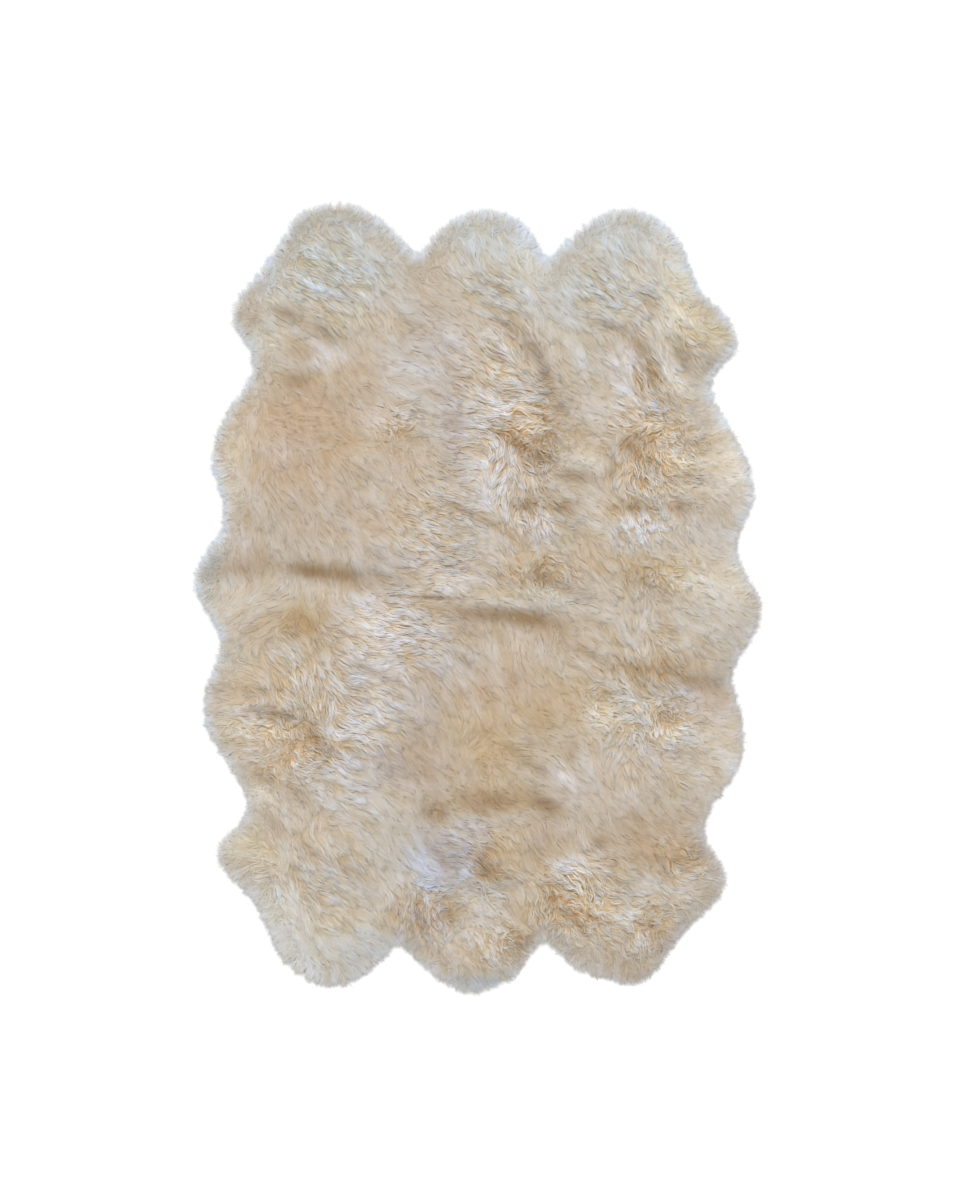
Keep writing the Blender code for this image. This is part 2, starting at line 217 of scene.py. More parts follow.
# the way the wool lies: brush strokes read from the rug, each with the way its tips point, in degrees
combStrokes = {
    "upperLeft": [
        (-390, 850, -22), (-345, 810, -42), (-260, 825, -55), (-220, 855, -62), (-300, 765, -27),
        (-435, 725, -34), (-345, 680, -27), (-505, 670, -40), (-435, 645, -24), (-350, 590, -56),
        (-295, 610, -68), (-185, 540, -15), (-155, 460, -14), (-425, 415, -40), (-200, 380, -22),
        (-165, 345, -68), (-535, 345, -85), (-415, 230, -60), (-300, 200, -46), (-370, 125, -62),
        (-560, 220, -80), (-560, 90, -75), (-345, 90, -80), (-220, 630, -60), (-275, 490, -50)],
    "upperMiddle": [
        (-65, 840, -62), (25, 860, -66), (85, 840, -80), (-90, 720, -34), (-40, 630, -40),
        (-65, 575, -46), (50, 675, -25), (50, 590, -50), (95, 580, -66), (135, 610, -72),
        (10, 535, -40), (75, 520, -18), (85, 470, -10), (145, 455, -14), (-115, 625, -18),
        (-20, 575, -20), (-45, 395, -10), (-20, 300, -3), (50, 415, -10), (55, 300, -118),
        (45, 250, -112), (5, 205, -14), (-45, 135, -8), (-65, 85, -10), (-10, 45, -5), (120, 300, -80),
        (115, 265, -70), (120, 185, -66), (120, 120, -75), (75, 90, -60), (50, 20, -30)],
    "upperRight": [
        (190, 735, -34), (285, 860, -55), (330, 790, -50), (415, 840, -80), (285, 745, -35),
        (285, 670, -30), (360, 695, -36), (310, 580, -50), (355, 580, -62), (380, 505, -72),
        (285, 505, -45), (330, 460, -18), (400, 460, -24), (470, 600, -64), (525, 605, -42),
        (570, 610, -18), (495, 700, -60), (190, 370, -42), (155, 345, -28), (220, 345, -18),
        (265, 370, -10), (190, 295, -15), (330, 295, -112), (380, 320, -88), (405, 290, -58),
        (475, 345, -28), (525, 370, -5), (600, 345, -3), (500, 295, -10), (520, 270, -20),
        (400, 250, -62), (190, 230, -35), (285, 230, -30), (190, 125, -42), (240, 110, -50),
        (260, 160, -30), (380, 185, -66), (430, 180, -50), (400, 125, -60), (495, 110, -50),
        (500, 60, -30), (545, 180, -54), (600, 90, -45), (330, 15, -60), (285, -25, -14)],
    "lowerLeft": [
        (-345, 15, -80), (-490, -30, 200), (-505, -80, 205), (-460, -125, -30), (-410, -150, -68),
        (-300, -50, -22), (-250, -100, -5), (-300, -135, -40), (-185, -100, 0), (-185, -30, -10),
        (-250, -190, -5), (-415, -195, -70), (-465, -220, -60), (-535, -195, -20), (-600, -220, 190),
        (-560, -260, 178), (-580, -310, 175), (-485, -285, 162), (-560, -355, 180), (-365, -240, -80),
        (-345, -265, -108), (-305, -240, -20), (-295, -310, -10), (-225, -290, -30), (-300, -360, -30),
        (-210, -360, -44), (-230, -380, -30), (-365, -405, -10), (-270, -430, -8), (-415, -430, -20),
        (-320, -475, -30), (-225, -475, -40), (-270, -545, -35), (-185, -545, -55), (-320, -525, -25),
        (-440, -475, -50), (-395, -525, -98), (-345, -590, -50), (-460, -570, -60), (-530, -595, 180),
        (-575, -595, 176), (-560, -640, 208), (-345, -640, -30), (-295, -685, -35), (-225, -615, -60),
        (-320, -710, -25), (-415, -710, -60), (-300, -805, -36), (-325, -855, -42), (-230, -820, -46),
        (-435, -800, -74)],
    "lowerMiddle": [
        (-115, -95, -10), (-65, -145, -42), (50, -100, -80), (145, -125, -80), (-90, -240, -64),
        (50, -220, -60), (25, -290, -78), (5, -345, -88), (95, -355, -16), (145, -380, -36),
        (120, -475, -20), (5, -430, -45), (-115, -470, -50), (-155, -590, -60), (-65, -570, -20),
        (-20, -615, -20), (10, -595, -30), (-85, -665, 8), (25, -545, -10), (50, -595, -60),
        (95, -570, -60), (25, -640, -35), (55, -670, -20), (-135, -735, -98), (-155, -780, -80),
        (-115, -820, -42), (-40, -850, -50), (10, -805, -60), (50, -755, -30), (95, -845, -22),
        (100, -720, -80), (40, -820, -45)],
    "lowerRight": [
        (285, -90, -50), (265, -125, -20), (285, -150, -60), (380, -55, -98), (380, -125, -76),
        (430, -65, -35), (500, -55, -30), (380, -170, -62), (525, -195, -55), (570, -220, -50),
        (260, -220, -20), (310, -265, -5), (400, -240, -44), (520, -265, -2), (540, -295, -5),
        (355, -360, -90), (380, -360, -60), (330, -360, -112), (430, -335, -20), (500, -360, -16),
        (570, -335, -18), (195, -335, -26), (220, -405, -46), (145, -430, -30), (195, -455, -40),
        (170, -545, -60), (240, -545, -70), (285, -595, -30), (220, -640, -14), (265, -685, -60),
        (360, -665, -14), (400, -640, -50), (195, -710, -40), (190, -780, -60), (355, -735, -8),
        (285, -805, -42), (335, -825, -45), (380, -850, -60), (260, -850, -52), (475, -780, -30),
        (525, -735, -28), (545, -665, 0)],
}
# whorls, where the wool sprays out from one point: x, y, radius, strength, turn of the spray in degrees
whorls = [
    (95, 355, 50, 0.65, 40), (350, 355, 50, 0.65, 40), (-430, -335, 60, 0.8, -30),
    (-395, -305, 35, 0.6, 0), (270, -235, 50, 0.7, 30), (425, -270, 55, 0.6, -20),
    (355, -315, 35, 0.6, 0), (-65, -735, 40, 0.6, 20), (75, -810, 40, 0.6, -20),
    (190, -715, 45, 0.6, 30), (285, -705, 35, 0.5, 0), (400, -765, 45, 0.6, -30),
    (425, -820, 35, 0.5, 0), (-185, 370, 45, 0.6, 40), (415, 370, 45, 0.6, -40),
    (165, 370, 45, 0.6, -40), (145, 65, 45, 0.5, 30), (400, 65, 45, 0.5, -30),
    (-115, -470, 40, 0.5, 20), (110, 215, 35, 0.5, 0), (360, 215, 35, 0.5, 0), (465, 215, 35, 0.5, 0),
    (-490, 415, 70, 0.4, 60), (-345, 335, 60, 0.4, -40), (25, -345, 70, 0.5, 0),
]
# places where the wool is short and curly: x, y, radius, how curly
curlyPlaces = [
    (-185, 370, 80, 0.8), (-415, 415, 105, 0.5), (180, 375, 95, 1.0), (435, 375, 95, 1.0),
    (145, 80, 95, 0.7), (400, 80, 105, 0.7), (-455, -355, 95, 0.9), (270, -235, 80, 0.8),
    (430, -275, 80, 0.9), (-65, -740, 105, 0.8), (75, -800, 80, 0.8), (215, -715, 95, 0.8),
    (380, -775, 115, 0.8), (-115, -470, 80, 0.6), (5, -425, 80, 0.6), (495, -610, 70, 0.5),
    (110, 215, 60, 0.6), (415, 215, 80, 0.6),
]
# places where tufts stand apart and their white tips show, elsewhere the wool is smooth:
# x, y, half width, half length, how crisp
crispPlaces = [
    (60, 430, 105, 190, 0.75), (115, 400, 60, 130, 0.95), (100, 205, 90, 60, 0.6),
    (385, 400, 80, 210, 0.75), (400, 330, 80, 120, 0.9), (370, 190, 90, 60, 0.6),
    (-200, 413, 45, 45, 0.55), (-370, 760, 130, 110, 0.38), (-110, 150, 90, 150, 0.45),
    (-396, -270, 140, 170, 0.6), (-430, -200, 70, 60, 0.65), (-400, -360, 80, 60, 0.7),
    (-200, -80, 120, 100, 0.55), (-270, -280, 90, 100, 0.45), (-8, -616, 80, 90, 0.6),
    (-130, -722, 80, 70, 0.7), (225, -690, 100, 90, 0.95), (400, -760, 110, 90, 0.6),
    (470, -610, 90, 60, 0.5), (366, -226, 120, 150, 0.55), (418, -290, 70, 60, 0.65),
    (60, -800, 90, 60, 0.55), (-380, -620, 120, 120, 0.3), (130, 60, 100, 60, 0.5),
    (400, 60, 110, 60, 0.4), (470, 640, 80, 80, 0.3), (20, 740, 80, 60, 0.4), (320, 720, 110, 80, 0.4),
]
layingSettings = {
    "strokeReach": 0.022,       # how far one stroke holds before its neighbours count
    "whorlEye": 0.004,          # the middle of a whorl, where the spray is weak
    "swirl": 0.20,              # slow wander of the lie, in radians
    "swirlLengths": (0.15, 0.11, 0.08, 0.06, 0.05),
    "rimTurn": (0.012, 0.056),  # wool turns outwards between these distances from the outline
    "rimPull": 0.95,
    "rimTurnsBy": 0.8,          # the most that it turns clockwise, in half turns
    "parting": (8, 32),         # how fast the arrows run apart where a parting begins and where it's full
    "partingSoften": 0.007,
    "leastCrisp": 0.05,
    "crispGain": 1.35,
    "crispFrom": 0.06,          # the rim's wool is smooth, out from this far inside
}


def slowWander(points, lengths, seed):  # a sum of long sine waves in scattered directions, about -1 to 1
    scatter = np.random.default_rng(seed)
    total = np.zeros(points.shape[:-1])
    for length in lengths:
        angle, start = scatter.uniform(0, 2 * math.pi, 2)
        wave = points[..., 0] * math.cos(angle) + points[..., 1] * math.sin(angle)
        total = total + np.sin(2 * math.pi * wave / length + start)
    return total / math.sqrt(len(lengths))


def layingMap():
    # unit arrows: the strokes averaged by 1 over the square of 1 + (distance / reach) squared, then a
    # bell of spray in each whorl, a slow wander, and a turn outwards at the rim
    arrows = np.zeros(mapShape + (2,))
    for x, y, degrees in sum(combStrokes.values(), []):
        away = np.sum((cellPoints - onRug((x, y))) ** 2, -1) / layingSettings["strokeReach"] ** 2
        angle = math.radians(degrees)
        arrows += (1 / (1 + away) ** 2)[..., None] * np.array([math.cos(angle), math.sin(angle)])
    arrows = unit(arrows)
    for x, y, radius, strength, degrees in whorls:
        spray = turned(cellPoints - onRug((x, y)), math.radians(degrees))
        spray = unit(spray, layingSettings["whorlEye"])
        share = strength * np.exp(-howFar(x, y, radius, radius))[..., None]
        arrows = arrows * (1 - share) + share * spray
    wander = layingSettings["swirl"] * slowWander(cellPoints, layingSettings["swirlLengths"], 5)
    arrows = turned(arrows, wander)
    angle = np.arctan2(arrows[..., 1], arrows[..., 0])
    most = layingSettings["rimTurnsBy"] * math.pi
    around = (np.arctan2(outward[..., 1], outward[..., 0]) - angle + most) % (2 * math.pi) - most
    angle = angle + layingSettings["rimPull"] * (1 - smooth(*layingSettings["rimTurn"], fromRim)) * around
    return np.stack([np.cos(angle), np.sin(angle)], -1)


arrowMap = layingMap()
partingMap = np.gradient(arrowMap[..., 0], cell, axis=1) + np.gradient(arrowMap[..., 1], cell, axis=0)
partingMap = smooth(*layingSettings["parting"], blurred(partingMap, layingSettings["partingSoften"]))
curlMap = np.zeros(mapShape)
for x, y, radius, amount in curlyPlaces:
    curlMap = np.maximum(curlMap, amount * np.exp(-howFar(x, y, radius, radius)))
crispMap = np.full(mapShape, layingSettings["leastCrisp"])
for x, y, halfWidth, halfLength, amount in crispPlaces:
    stands = layingSettings["crispGain"] * amount * np.exp(-howFar(x, y, halfWidth, halfLength))
    crispMap = np.maximum(crispMap, stands)
crispMap = crispMap * smooth(0.0, layingSettings["crispFrom"], fromRim)


def combedNoise(seed, grain, reach):
    # even grains drawn out along the lie of the wool, -1 to 1: each cell adds up the grains that it meets
    # on its way along the arrows and back against them
    grains = blurred(np.random.default_rng(seed).normal(0, 1, mapShape), grain)
    total = grains.copy()
    steps = max(int(reach / cell), 1)
    for way in (1, -1):
        spot = cellPoints.copy()
        for _ in range(steps):
            spot = spot + way * cell * sampled(arrowMap, spot)
            total += sampled(grains, spot)
    return np.clip(total / (2.2 * total[inside].std()), -1, 1)


# furrows between soft folds of wool: x, y, half length, half width, turn in degrees, depth, and how
# strong the painted brown shade laid into the furrow is
furrows = [
    (-440, 655, 65, 15, -25, 4, 0.5), (-360, 615, 50, 15, -30, 4, 0.5), (-425, 510, 35, 20, 0, 3, 0.6),
    (-340, 56, 120, 20, -7, 5, 0.8), (-395, 64, 60, 20, -6, 6, 1.0), (-565, 66, 60, 18, 0, 3, 0.5),
    (75, 630, 40, 15, -30, 4, 0.5), (130, 575, 35, 20, -55, 5, 0.6), (155, 525, 35, 20, -75, 4, 0.6),
    (180, 460, 35, 15, -30, 3, 0.5), (-20, 515, 60, 10, -30, 2, 0.25), (90, 360, 35, 15, -30, 4, 0.9),
    (145, 330, 40, 20, -25, 4, 0.7), (225, 285, 50, 15, -8, 3, 0.6), (-10, 190, 75, 10, -28, 3, 0.45),
    (110, 215, 35, 15, 0, 3, 0.7), (200, 210, 35, 15, 0, 3, 0.6), (190, 30, 70, 15, -20, 2, 0.5),
    (25, 55, 95, 10, -15, 2, 0.3), (310, 635, 45, 15, -20, 4, 0.5), (380, 585, 35, 20, -50, 5, 0.6),
    (405, 515, 35, 20, -80, 4, 0.5), (425, 460, 35, 15, -30, 3, 0.4), (475, 560, 40, 20, -65, 4, 0.6),
    (345, 355, 35, 20, -30, 4, 0.5), (400, 320, 40, 15, -25, 4, 0.4), (485, 285, 55, 15, -8, 3, 0.4),
    (365, 210, 35, 15, 0, 3, 0.6), (460, 210, 35, 15, 0, 3, 0.6), (310, 310, 50, 15, -85, 2, 0.3),
    (425, 20, 70, 15, -20, 2, 0.4), (555, 545, 40, 20, 20, 3, 0.4), (-230, -180, 90, 10, -25, 3, 0.4),
    (-465, -270, 70, 15, -10, 2, 0.5), (-380, -330, 40, 15, -35, 3, 0.6),
    (-345, -355, 35, 15, -30, 3, 0.5), (-490, -425, 60, 15, -35, 2, 0.4),
    (-415, -460, 60, 15, -30, 2, 0.4), (-475, -530, 45, 15, -60, 3, 0.5),
    (-395, -590, 50, 15, -45, 3, 0.4), (-310, -625, 45, 15, -25, 2, 0.3),
    (-535, -215, 105, 20, 0, 2, 0.35), (-185, -400, 70, 25, -20, 2, 0.25),
    (45, -40, 145, 22, -5, 5, 0.85), (110, -46, 85, 21, -8, 6, 1.0), (-110, 2, 95, 5, -2, 1, 0.8),
    (-20, -155, 60, 10, -35, 3, 0.4), (85, -185, 25, 20, 0, 2, 0.4), (-100, -500, 35, 25, 0, 4, 0.8),
    (25, -470, 70, 25, 0, 3, 0.5), (155, -480, 50, 20, -40, 4, 0.8), (130, -390, 45, 15, -30, 3, 0.5),
    (-90, -600, 55, 15, -55, 3, 0.4), (15, -625, 40, 20, -50, 3, 0.6), (220, -360, 30, 15, -90, 2, 0.4),
    (-140, -735, 45, 10, -70, 3, 0.4), (-80, -725, 45, 10, -60, 3, 0.4), (95, -805, 35, 15, 0, 2, 0.5),
    (285, -60, 70, 15, -15, 2, 0.3), (260, -130, 70, 15, -20, 2, 0.35), (380, -165, 80, 20, -8, 2, 0.4),
    (520, -195, 70, 20, -5, 2, 0.4), (390, -320, 35, 10, -60, 2, 0.3), (495, -360, 60, 10, -3, 2, 0.3),
    (280, -570, 20, 20, 0, 3, 0.6), (425, -610, 70, 20, 0, 2, 0.4), (190, -715, 50, 20, -45, 3, 0.5),
    (285, -750, 60, 10, -15, 2, 0.3), (400, -765, 35, 15, -20, 2, 0.4), (520, -590, 35, 20, 0, 2, 0.3),
]


def furrowMaps():  # troughs of a bell shape both ways, exp(-how far), with painted brown shade in the same bell, and where two meet the deeper one
    depth, paintedShade = np.zeros(mapShape), np.zeros(mapShape)
    for x, y, halfLength, halfWidth, turn, deep, tint in furrows:
        trough = np.exp(-howFar(x, y, halfLength, halfWidth, turn))
        depth = np.maximum(depth, deep * 0.001 * trough)
        paintedShade = np.maximum(paintedShade, tint * trough)
    return depth, paintedShade


furrowDepth, furrowPaintedShade = furrowMaps()
reliefSettings = {
    "tuftGrain": 0.0050, "tuftReach": 0.020, "tuftHeight": 0.0026,
    "swellGrain": 0.0130, "swellReach": 0.030, "swellHeight": 0.0030,
    "swellSunk": 0.6,           # swells lie this share of their height lower, so they stay in the pelts
    "full": (0.65, 0.8),        # share of the relief that smooth wool has, and what crisp wool adds
    "fullFrom": 0.06,           # relief is full this far inside the outline
    "furrowFrom": 0.05,         # and furrows are
    "least": 0.001,             # lowest that the surface gets
}
tuftMap = combedNoise(11, reliefSettings["tuftGrain"], reliefSettings["tuftReach"])
swellMap = combedNoise(12, reliefSettings["swellGrain"], reliefSettings["swellReach"])
fullSmooth, fullCrisp = reliefSettings["full"]
fullness = smooth(0.0, reliefSettings["fullFrom"], fromRim) * (fullSmooth + fullCrisp * crispMap)
relief = (reliefSettings["tuftHeight"] * tuftMap
          + reliefSettings["swellHeight"] * (swellMap - reliefSettings["swellSunk"]))
sunk = smooth(0.0, reliefSettings["furrowFrom"], fromRim) * furrowDepth
surfaceMap = np.maximum(heightMap + fullness * relief - sunk, reliefSettings["least"])
print("lie of the wool:", len(sum(combStrokes.values(), [])), "strokes,", len(whorls), "whorls")


# the wool's shades, as they show on the rug, and the soft patches that they lie in
woolShades = {
    "oat": (195, 183, 167), "steel": (178, 178, 174), "slate": (193, 189, 183), "mist": (194, 193, 188),
    "frost": (210, 206, 198), "cream": (218, 211, 192), "straw": (205, 193, 170),
    "lilac": (208, 200, 194), "lilacGrey": (184, 171, 161), "goldBrown": (193, 170, 145),
    "rust": (182, 154, 118), "sand": (199, 181, 160), "white": (202, 194, 186), "gold": (190, 165, 130),
    "deepGold": (186, 164, 134), "clay": (195, 179, 164), "taupe": (184, 166, 147),
    "blueGrey": (175, 171, 174), "blueWhite": (191, 189, 190), "pearl": (216, 205, 188),
    # the furrow shade is painted shade, laid into the creases
    "tan": (183, 163, 139), "furrow": (160, 137, 110), "rim": (208, 206, 203),
}
# x, y, half width, half length, turn in degrees, shade, how strong
tonePatches = [
    # neck and shoulder of the upper left pelt
    (-370, 875, 175, 35, 0, "steel", 0.5), (-490, 810, 30, 120, -30, "steel", 0.5),
    (-325, 770, 140, 90, 0, "mist", 0.8), (-415, 775, 95, 50, 0, "mist", 0.4),
    (-455, 705, 60, 30, 0, "mist", 0.4), (-200, 640, 45, 35, 0, "sand", 0.5),
    (-300, 650, 70, 30, 0, "straw", 0.4), (-360, 565, 50, 35, 0, "lilac", 0.6),
    (-170, 525, 70, 65, 0, "white", 0.8), (-500, 615, 40, 40, 0, "cream", 0.5),
    # painted highlight: the two pearl bands below lie along the creases across the rug's middle, where
    # the folds catch the light
    (-310, 14, 80, 14, -6, "pearl", 0.3), (60, -6, 90, 14, -5, "pearl", 0.5),
    (-510, 585, 35, 38, 0, "frost", 0.7), (-418, 578, 42, 30, 0, "deepGold", 0.6),
    # back of the upper left pelt
    (-415, 500, 90, 35, 0, "rust", 0.3), (-275, 530, 70, 45, 0, "goldBrown", 0.5),
    (-415, 415, 140, 70, 0, "goldBrown", 0.95), (-415, 300, 140, 80, 0, "goldBrown", 0.8),
    (-300, 355, 140, 35, 15, "gold", 0.35), (-205, 380, 70, 50, 0, "sand", 0.4),
    (-180, 300, 60, 70, 0, "goldBrown", 0.5), (-535, 370, 40, 115, 0, "sand", 0.5),
    (-580, 300, 40, 140, 0, "pearl", 0.6), (-220, 425, 35, 20, 0, "lilac", 0.5),
    (-415, 185, 165, 70, 0, "taupe", 0.5), (-255, 185, 115, 60, 0, "goldBrown", 0.4),
    (-195, 80, 95, 35, 0, "lilacGrey", 0.5), (-418, 345, 60, 50, 0, "clay", 0.55),
    (-255, 441, 60, 35, 0, "goldBrown", 0.5), (-530, 90, 60, 40, 0, "taupe", 0.7),
    (-262, 20, 60, 18, -4, "tan", 0.8),
    # upper middle pelt
    (5, 840, 105, 65, 0, "mist", 0.8), (110, 780, 35, 95, 0, "frost", 0.8),
    (-90, 750, 55, 55, 0, "sand", 0.35), (15, 720, 70, 45, 0, "mist", 0.5),
    (-120, 635, 65, 85, 0, "lilacGrey", 0.3), (-20, 575, 105, 80, 0, "lilac", 0.45),
    (-90, 500, 65, 65, 0, "lilacGrey", 0.3), (50, 465, 105, 50, 0, "white", 0.5),
    (225, 575, 20, 70, 20, "frost", 0.4), (180, 675, 70, 35, 0, "slate", 0.5),
    (-55, 390, 35, 115, 0, "lilacGrey", 0.8), (30, 305, 65, 80, 0, "lilac", 0.55),
    (130, 395, 70, 35, 0, "gold", 0.6), (260, 370, 80, 50, -20, "sand", 0.5),
    (265, 325, 65, 20, -15, "pearl", 0.5), (5, 230, 95, 40, -20, "lilac", 0.5),
    (25, 125, 105, 50, 0, "white", 0.5), (-65, 40, 80, 30, 0, "lilac", 0.9),
    (125, 270, 45, 45, 0, "clay", 0.4), (135, 165, 35, 35, 0, "lilac", 0.8),
    (145, 65, 95, 45, 0, "deepGold", 0.7), (95, 15, 115, 15, 0, "straw", 0.5),
    (260, 90, 50, 70, 0, "sand", 0.5), (95, 441, 50, 35, 0, "lilac", 0.5),
    (140, 770, 30, 45, 0, "frost", 0.7), (97, 137, 42, 42, 0, "deepGold", 0.5),
    # upper right pelt
    (330, 840, 115, 70, 0, "mist", 0.8), (460, 840, 45, 80, 0, "frost", 0.9),
    (475, 720, 50, 80, 0, "cream", 0.6), (215, 735, 60, 40, 0, "mist", 0.6),
    (295, 735, 95, 45, 0, "mist", 0.5), (285, 660, 95, 40, 0, "mist", 0.45),
    (345, 535, 45, 70, 0, "white", 0.7), (285, 462, 70, 52, 0, "white", 0.65),
    (565, 615, 50, 45, 0, "straw", 0.65), (495, 630, 60, 60, 0, "straw", 0.5),
    (445, 580, 20, 65, 20, "frost", 0.4), (465, 500, 62, 32, 0, "pearl", 0.55),
    (390, 395, 70, 35, 0, "gold", 0.5), (495, 370, 70, 40, -20, "sand", 0.5),
    (495, 320, 75, 20, -5, "pearl", 0.7), (610, 345, 60, 150, 0, "pearl", 0.85),
    (575, 250, 60, 80, 0, "pearl", 0.5), (390, 165, 35, 35, 0, "lilac", 0.9),
    (285, 220, 60, 40, 0, "sand", 0.4), (555, 230, 70, 40, 0, "taupe", 0.5),
    (565, 135, 60, 60, 0, "white", 0.4), (400, 65, 95, 40, 0, "deepGold", 0.6),
    (525, 45, 70, 60, 0, "pearl", 0.35), (590, 40, 60, 60, 0, "pearl", 0.7),
    (472, 45, 45, 45, 0, "pearl", 0.5), (355, 254, 60, 28, 0, "white", 0.85),
    (470, 302, 40, 28, 0, "pearl", 0.55), (515, 258, 50, 25, 0, "pearl", 0.5),
    (430, 394, 40, 28, 0, "pearl", 0.45),
    # lower left pelt
    (-595, -20, 60, 60, 0, "pearl", 0.5), (-625, 70, 40, 60, 0, "steel", 0.6),
    (-525, -75, 45, 95, 0, "sand", 0.4), (-395, -50, 95, 50, 0, "deepGold", 0.9),
    (-350, -165, 55, 28, 0, "taupe", 0.4), (-220, -95, 105, 105, 0, "lilac", 0.7),
    (-160, -30, 105, 35, 0, "lilac", 0.35), (-115, -100, 45, 70, 0, "lilac", 0.4),
    (-275, -285, 95, 95, 0, "lilac", 0.55), (-185, -235, 70, 70, 0, "white", 0.5),
    (-535, -235, 95, 50, 0, "sand", 0.4), (-570, -310, 50, 95, 0, "pearl", 0.4),
    (-505, -315, 70, 20, 0, "pearl", 0.7), (-415, -345, 70, 30, -30, "rust", 0.5),
    (-490, -380, 70, 45, -30, "sand", 0.5), (-195, -390, 80, 45, 0, "lilacGrey", 0.7),
    (-325, -470, 95, 70, 0, "white", 0.5), (-230, -570, 70, 95, 0, "slate", 0.4),
    (-535, -590, 80, 50, -20, "straw", 0.7), (-475, -740, 50, 80, 20, "frost", 0.9),
    (-345, -660, 115, 35, -20, "slate", 0.5), (-300, -820, 115, 60, 0, "mist", 0.45),
    (-325, -750, 70, 30, 0, "straw", 0.4), (-400, -850, 55, 45, -40, "frost", 0.8),
    (-510, -450, 45, 45, 0, "pearl", 0.7), (-468, -302, 42, 30, 0, "pearl", 0.5),
    # lower middle pelt
    (80, -190, 95, 80, 0, "goldBrown", 0.6), (-20, -130, 80, 40, 0, "white", 0.25),
    (120, -120, 70, 60, 0, "sand", 0.5), (-115, -215, 50, 95, 0, "lilacGrey", 0.5),
    (-30, -215, 60, 60, 0, "clay", 0.5), (25, -345, 90, 105, 0, "gold", 0.7),
    (145, -285, 80, 45, 0, "deepGold", 0.6), (-115, -375, 60, 105, 0, "taupe", 0.8),
    (50, -470, 115, 35, 0, "rust", 0.6), (60, -590, 55, 60, 0, "gold", 0.7),
    (145, -565, 45, 70, 0, "taupe", 0.6), (-75, -603, 88, 60, 0, "blueGrey", 0.8),
    (-25, -530, 35, 25, 0, "blueWhite", 0.7), (-125, -610, 40, 70, 0, "blueWhite", 0.6),
    (-45, -670, 95, 20, 0, "blueWhite", 0.6), (5, -730, 70, 35, 0, "white", 0.4),
    (-115, -740, 70, 45, 0, "lilacGrey", 0.7), (110, -750, 45, 60, 0, "gold", 0.4),
    (-30, -835, 105, 40, 0, "sand", 0.5), (-10, -900, 140, 20, 0, "steel", 0.6),
    # painted shadow: the tan band at (-20, -84) below lies in the shade just under the middle crease
    (-20, -84, 100, 30, -2, "tan", 0.55), (4, -541, 40, 30, 0, "taupe", 0.6),
    (150, -612, 48, 45, 0, "tan", 0.6), (-42, -400, 50, 40, 0, "tan", 0.5),
    # lower right pelt
    (355, -60, 95, 60, 0, "white", 0.12), (235, -95, 70, 60, 0, "sand", 0.4),
    # painted shadow: the tan band at (180, -82) below lies in the shade just under the middle crease
    (180, -82, 80, 36, -6, "tan", 0.85), (210, -450, 60, 30, 0, "taupe", 0.6),
    (425, -165, 140, 35, 0, "tan", 0.7), (520, -200, 70, 30, 0, "lilacGrey", 0.5),
    (190, -235, 80, 60, 0, "gold", 0.4), (285, -270, 50, 35, 0, "pearl", 0.6),
    (450, -315, 70, 20, 0, "pearl", 0.65), (400, -365, 70, 35, 0, "lilac", 0.4),
    (565, -355, 60, 95, 0, "pearl", 0.5), (545, -255, 70, 50, 0, "goldBrown", 0.4),
    (525, -255, 70, 35, 0, "clay", 0.5), (200, -415, 40, 20, -45, "lilac", 0.9),
    (330, -415, 80, 45, 0, "clay", 0.5), (380, -540, 140, 70, 0, "tan", 0.85),
    (250, -610, 50, 30, 0, "lilac", 0.6), (425, -610, 95, 35, 0, "rust", 0.35),
    (470, -680, 70, 30, 0, "white", 0.4), (320, -725, 60, 25, 0, "pearl", 0.45),
    (215, -730, 70, 40, 0, "gold", 0.4), (330, -820, 105, 45, 0, "taupe", 0.25),
    (470, -800, 45, 45, 0, "deepGold", 0.4), (380, -890, 115, 30, 0, "taupe", 0.7),
    (540, -780, 60, 80, -35, "taupe", 0.7), (595, -640, 45, 80, 0, "taupe", 0.6),
    (470, -850, 60, 60, -40, "taupe", 0.6),
]
toneSettings = {
    "rimBand": (-0.002, 0.020),   # the rim's pale halo reaches in from the outline as far as this
    "rimStrength": 0.9,
    "rimFacing": (-0.7, 0.5),     # it fades to the lower right, between these sums of y and -0.6 x
    "rimLeast": 0.35,
    "patchWander": 0.35,          # how unevenly a patch's edge runs
    "patchWaves": (0.09, 0.06, 0.045, 0.03),
    "patchEdge": 1.2,             # 1 is a soft bell, more than that has a flatter middle
    "gain": (1.062, 1.136, 1.258),     # wool's own colour over what shows, as locks shade each other
    "contrast": 1.32,                  # shades light each other, so they are set further apart
    "smoothLevel": 0.893, "crispGain": 0.21,    # smooth wool throws back more light than standing tufts
    "paintedHollowShade": (0.94, 0.865, 0.745),    # painted shade in a hollow between tufts, warmer and darker
    "paintedCrestLight": (1.05, 1.08, 1.14),       # and painted light on a tuft's crest, cooler and paler
    "crispPaintedShading": 0.9,                # how much more they do where the wool is crisp
    "root": (1.01, 0.95, 0.85), "tip": (1.01, 1.03, 1.06),    # a strand's shade over the wool's: the tan root and paler tip are partly its own colour, partly painted shade and painted light
    "low": (1.00, 0.93, 0.80), "top": (1.01, 1.035, 1.07),    # and painted shade deep in the fleece, painted light on top
    "paintedShadeToLightHeights": (-0.0020, 0.0024),       # heights over the surface where the painted shade is full and where the painted light is full
    "bareRim": (0.015, 0.045),         # wool nearer the outline than this shows its whole length
    "bareShare": 0.75,
    "pale": (0.038, 0.064, 0.098),     # how much one strand is paler or browner than its neighbours
}


def laid(tone, shade, share):  # one shade over the others
    return tone * (1 - share[..., None]) + linear(woolShades[shade]) * share[..., None]


def between(first, second, share):  # from one tone setting to the other
    return np.array(toneSettings[first]) * (1 - share) + np.array(toneSettings[second]) * share


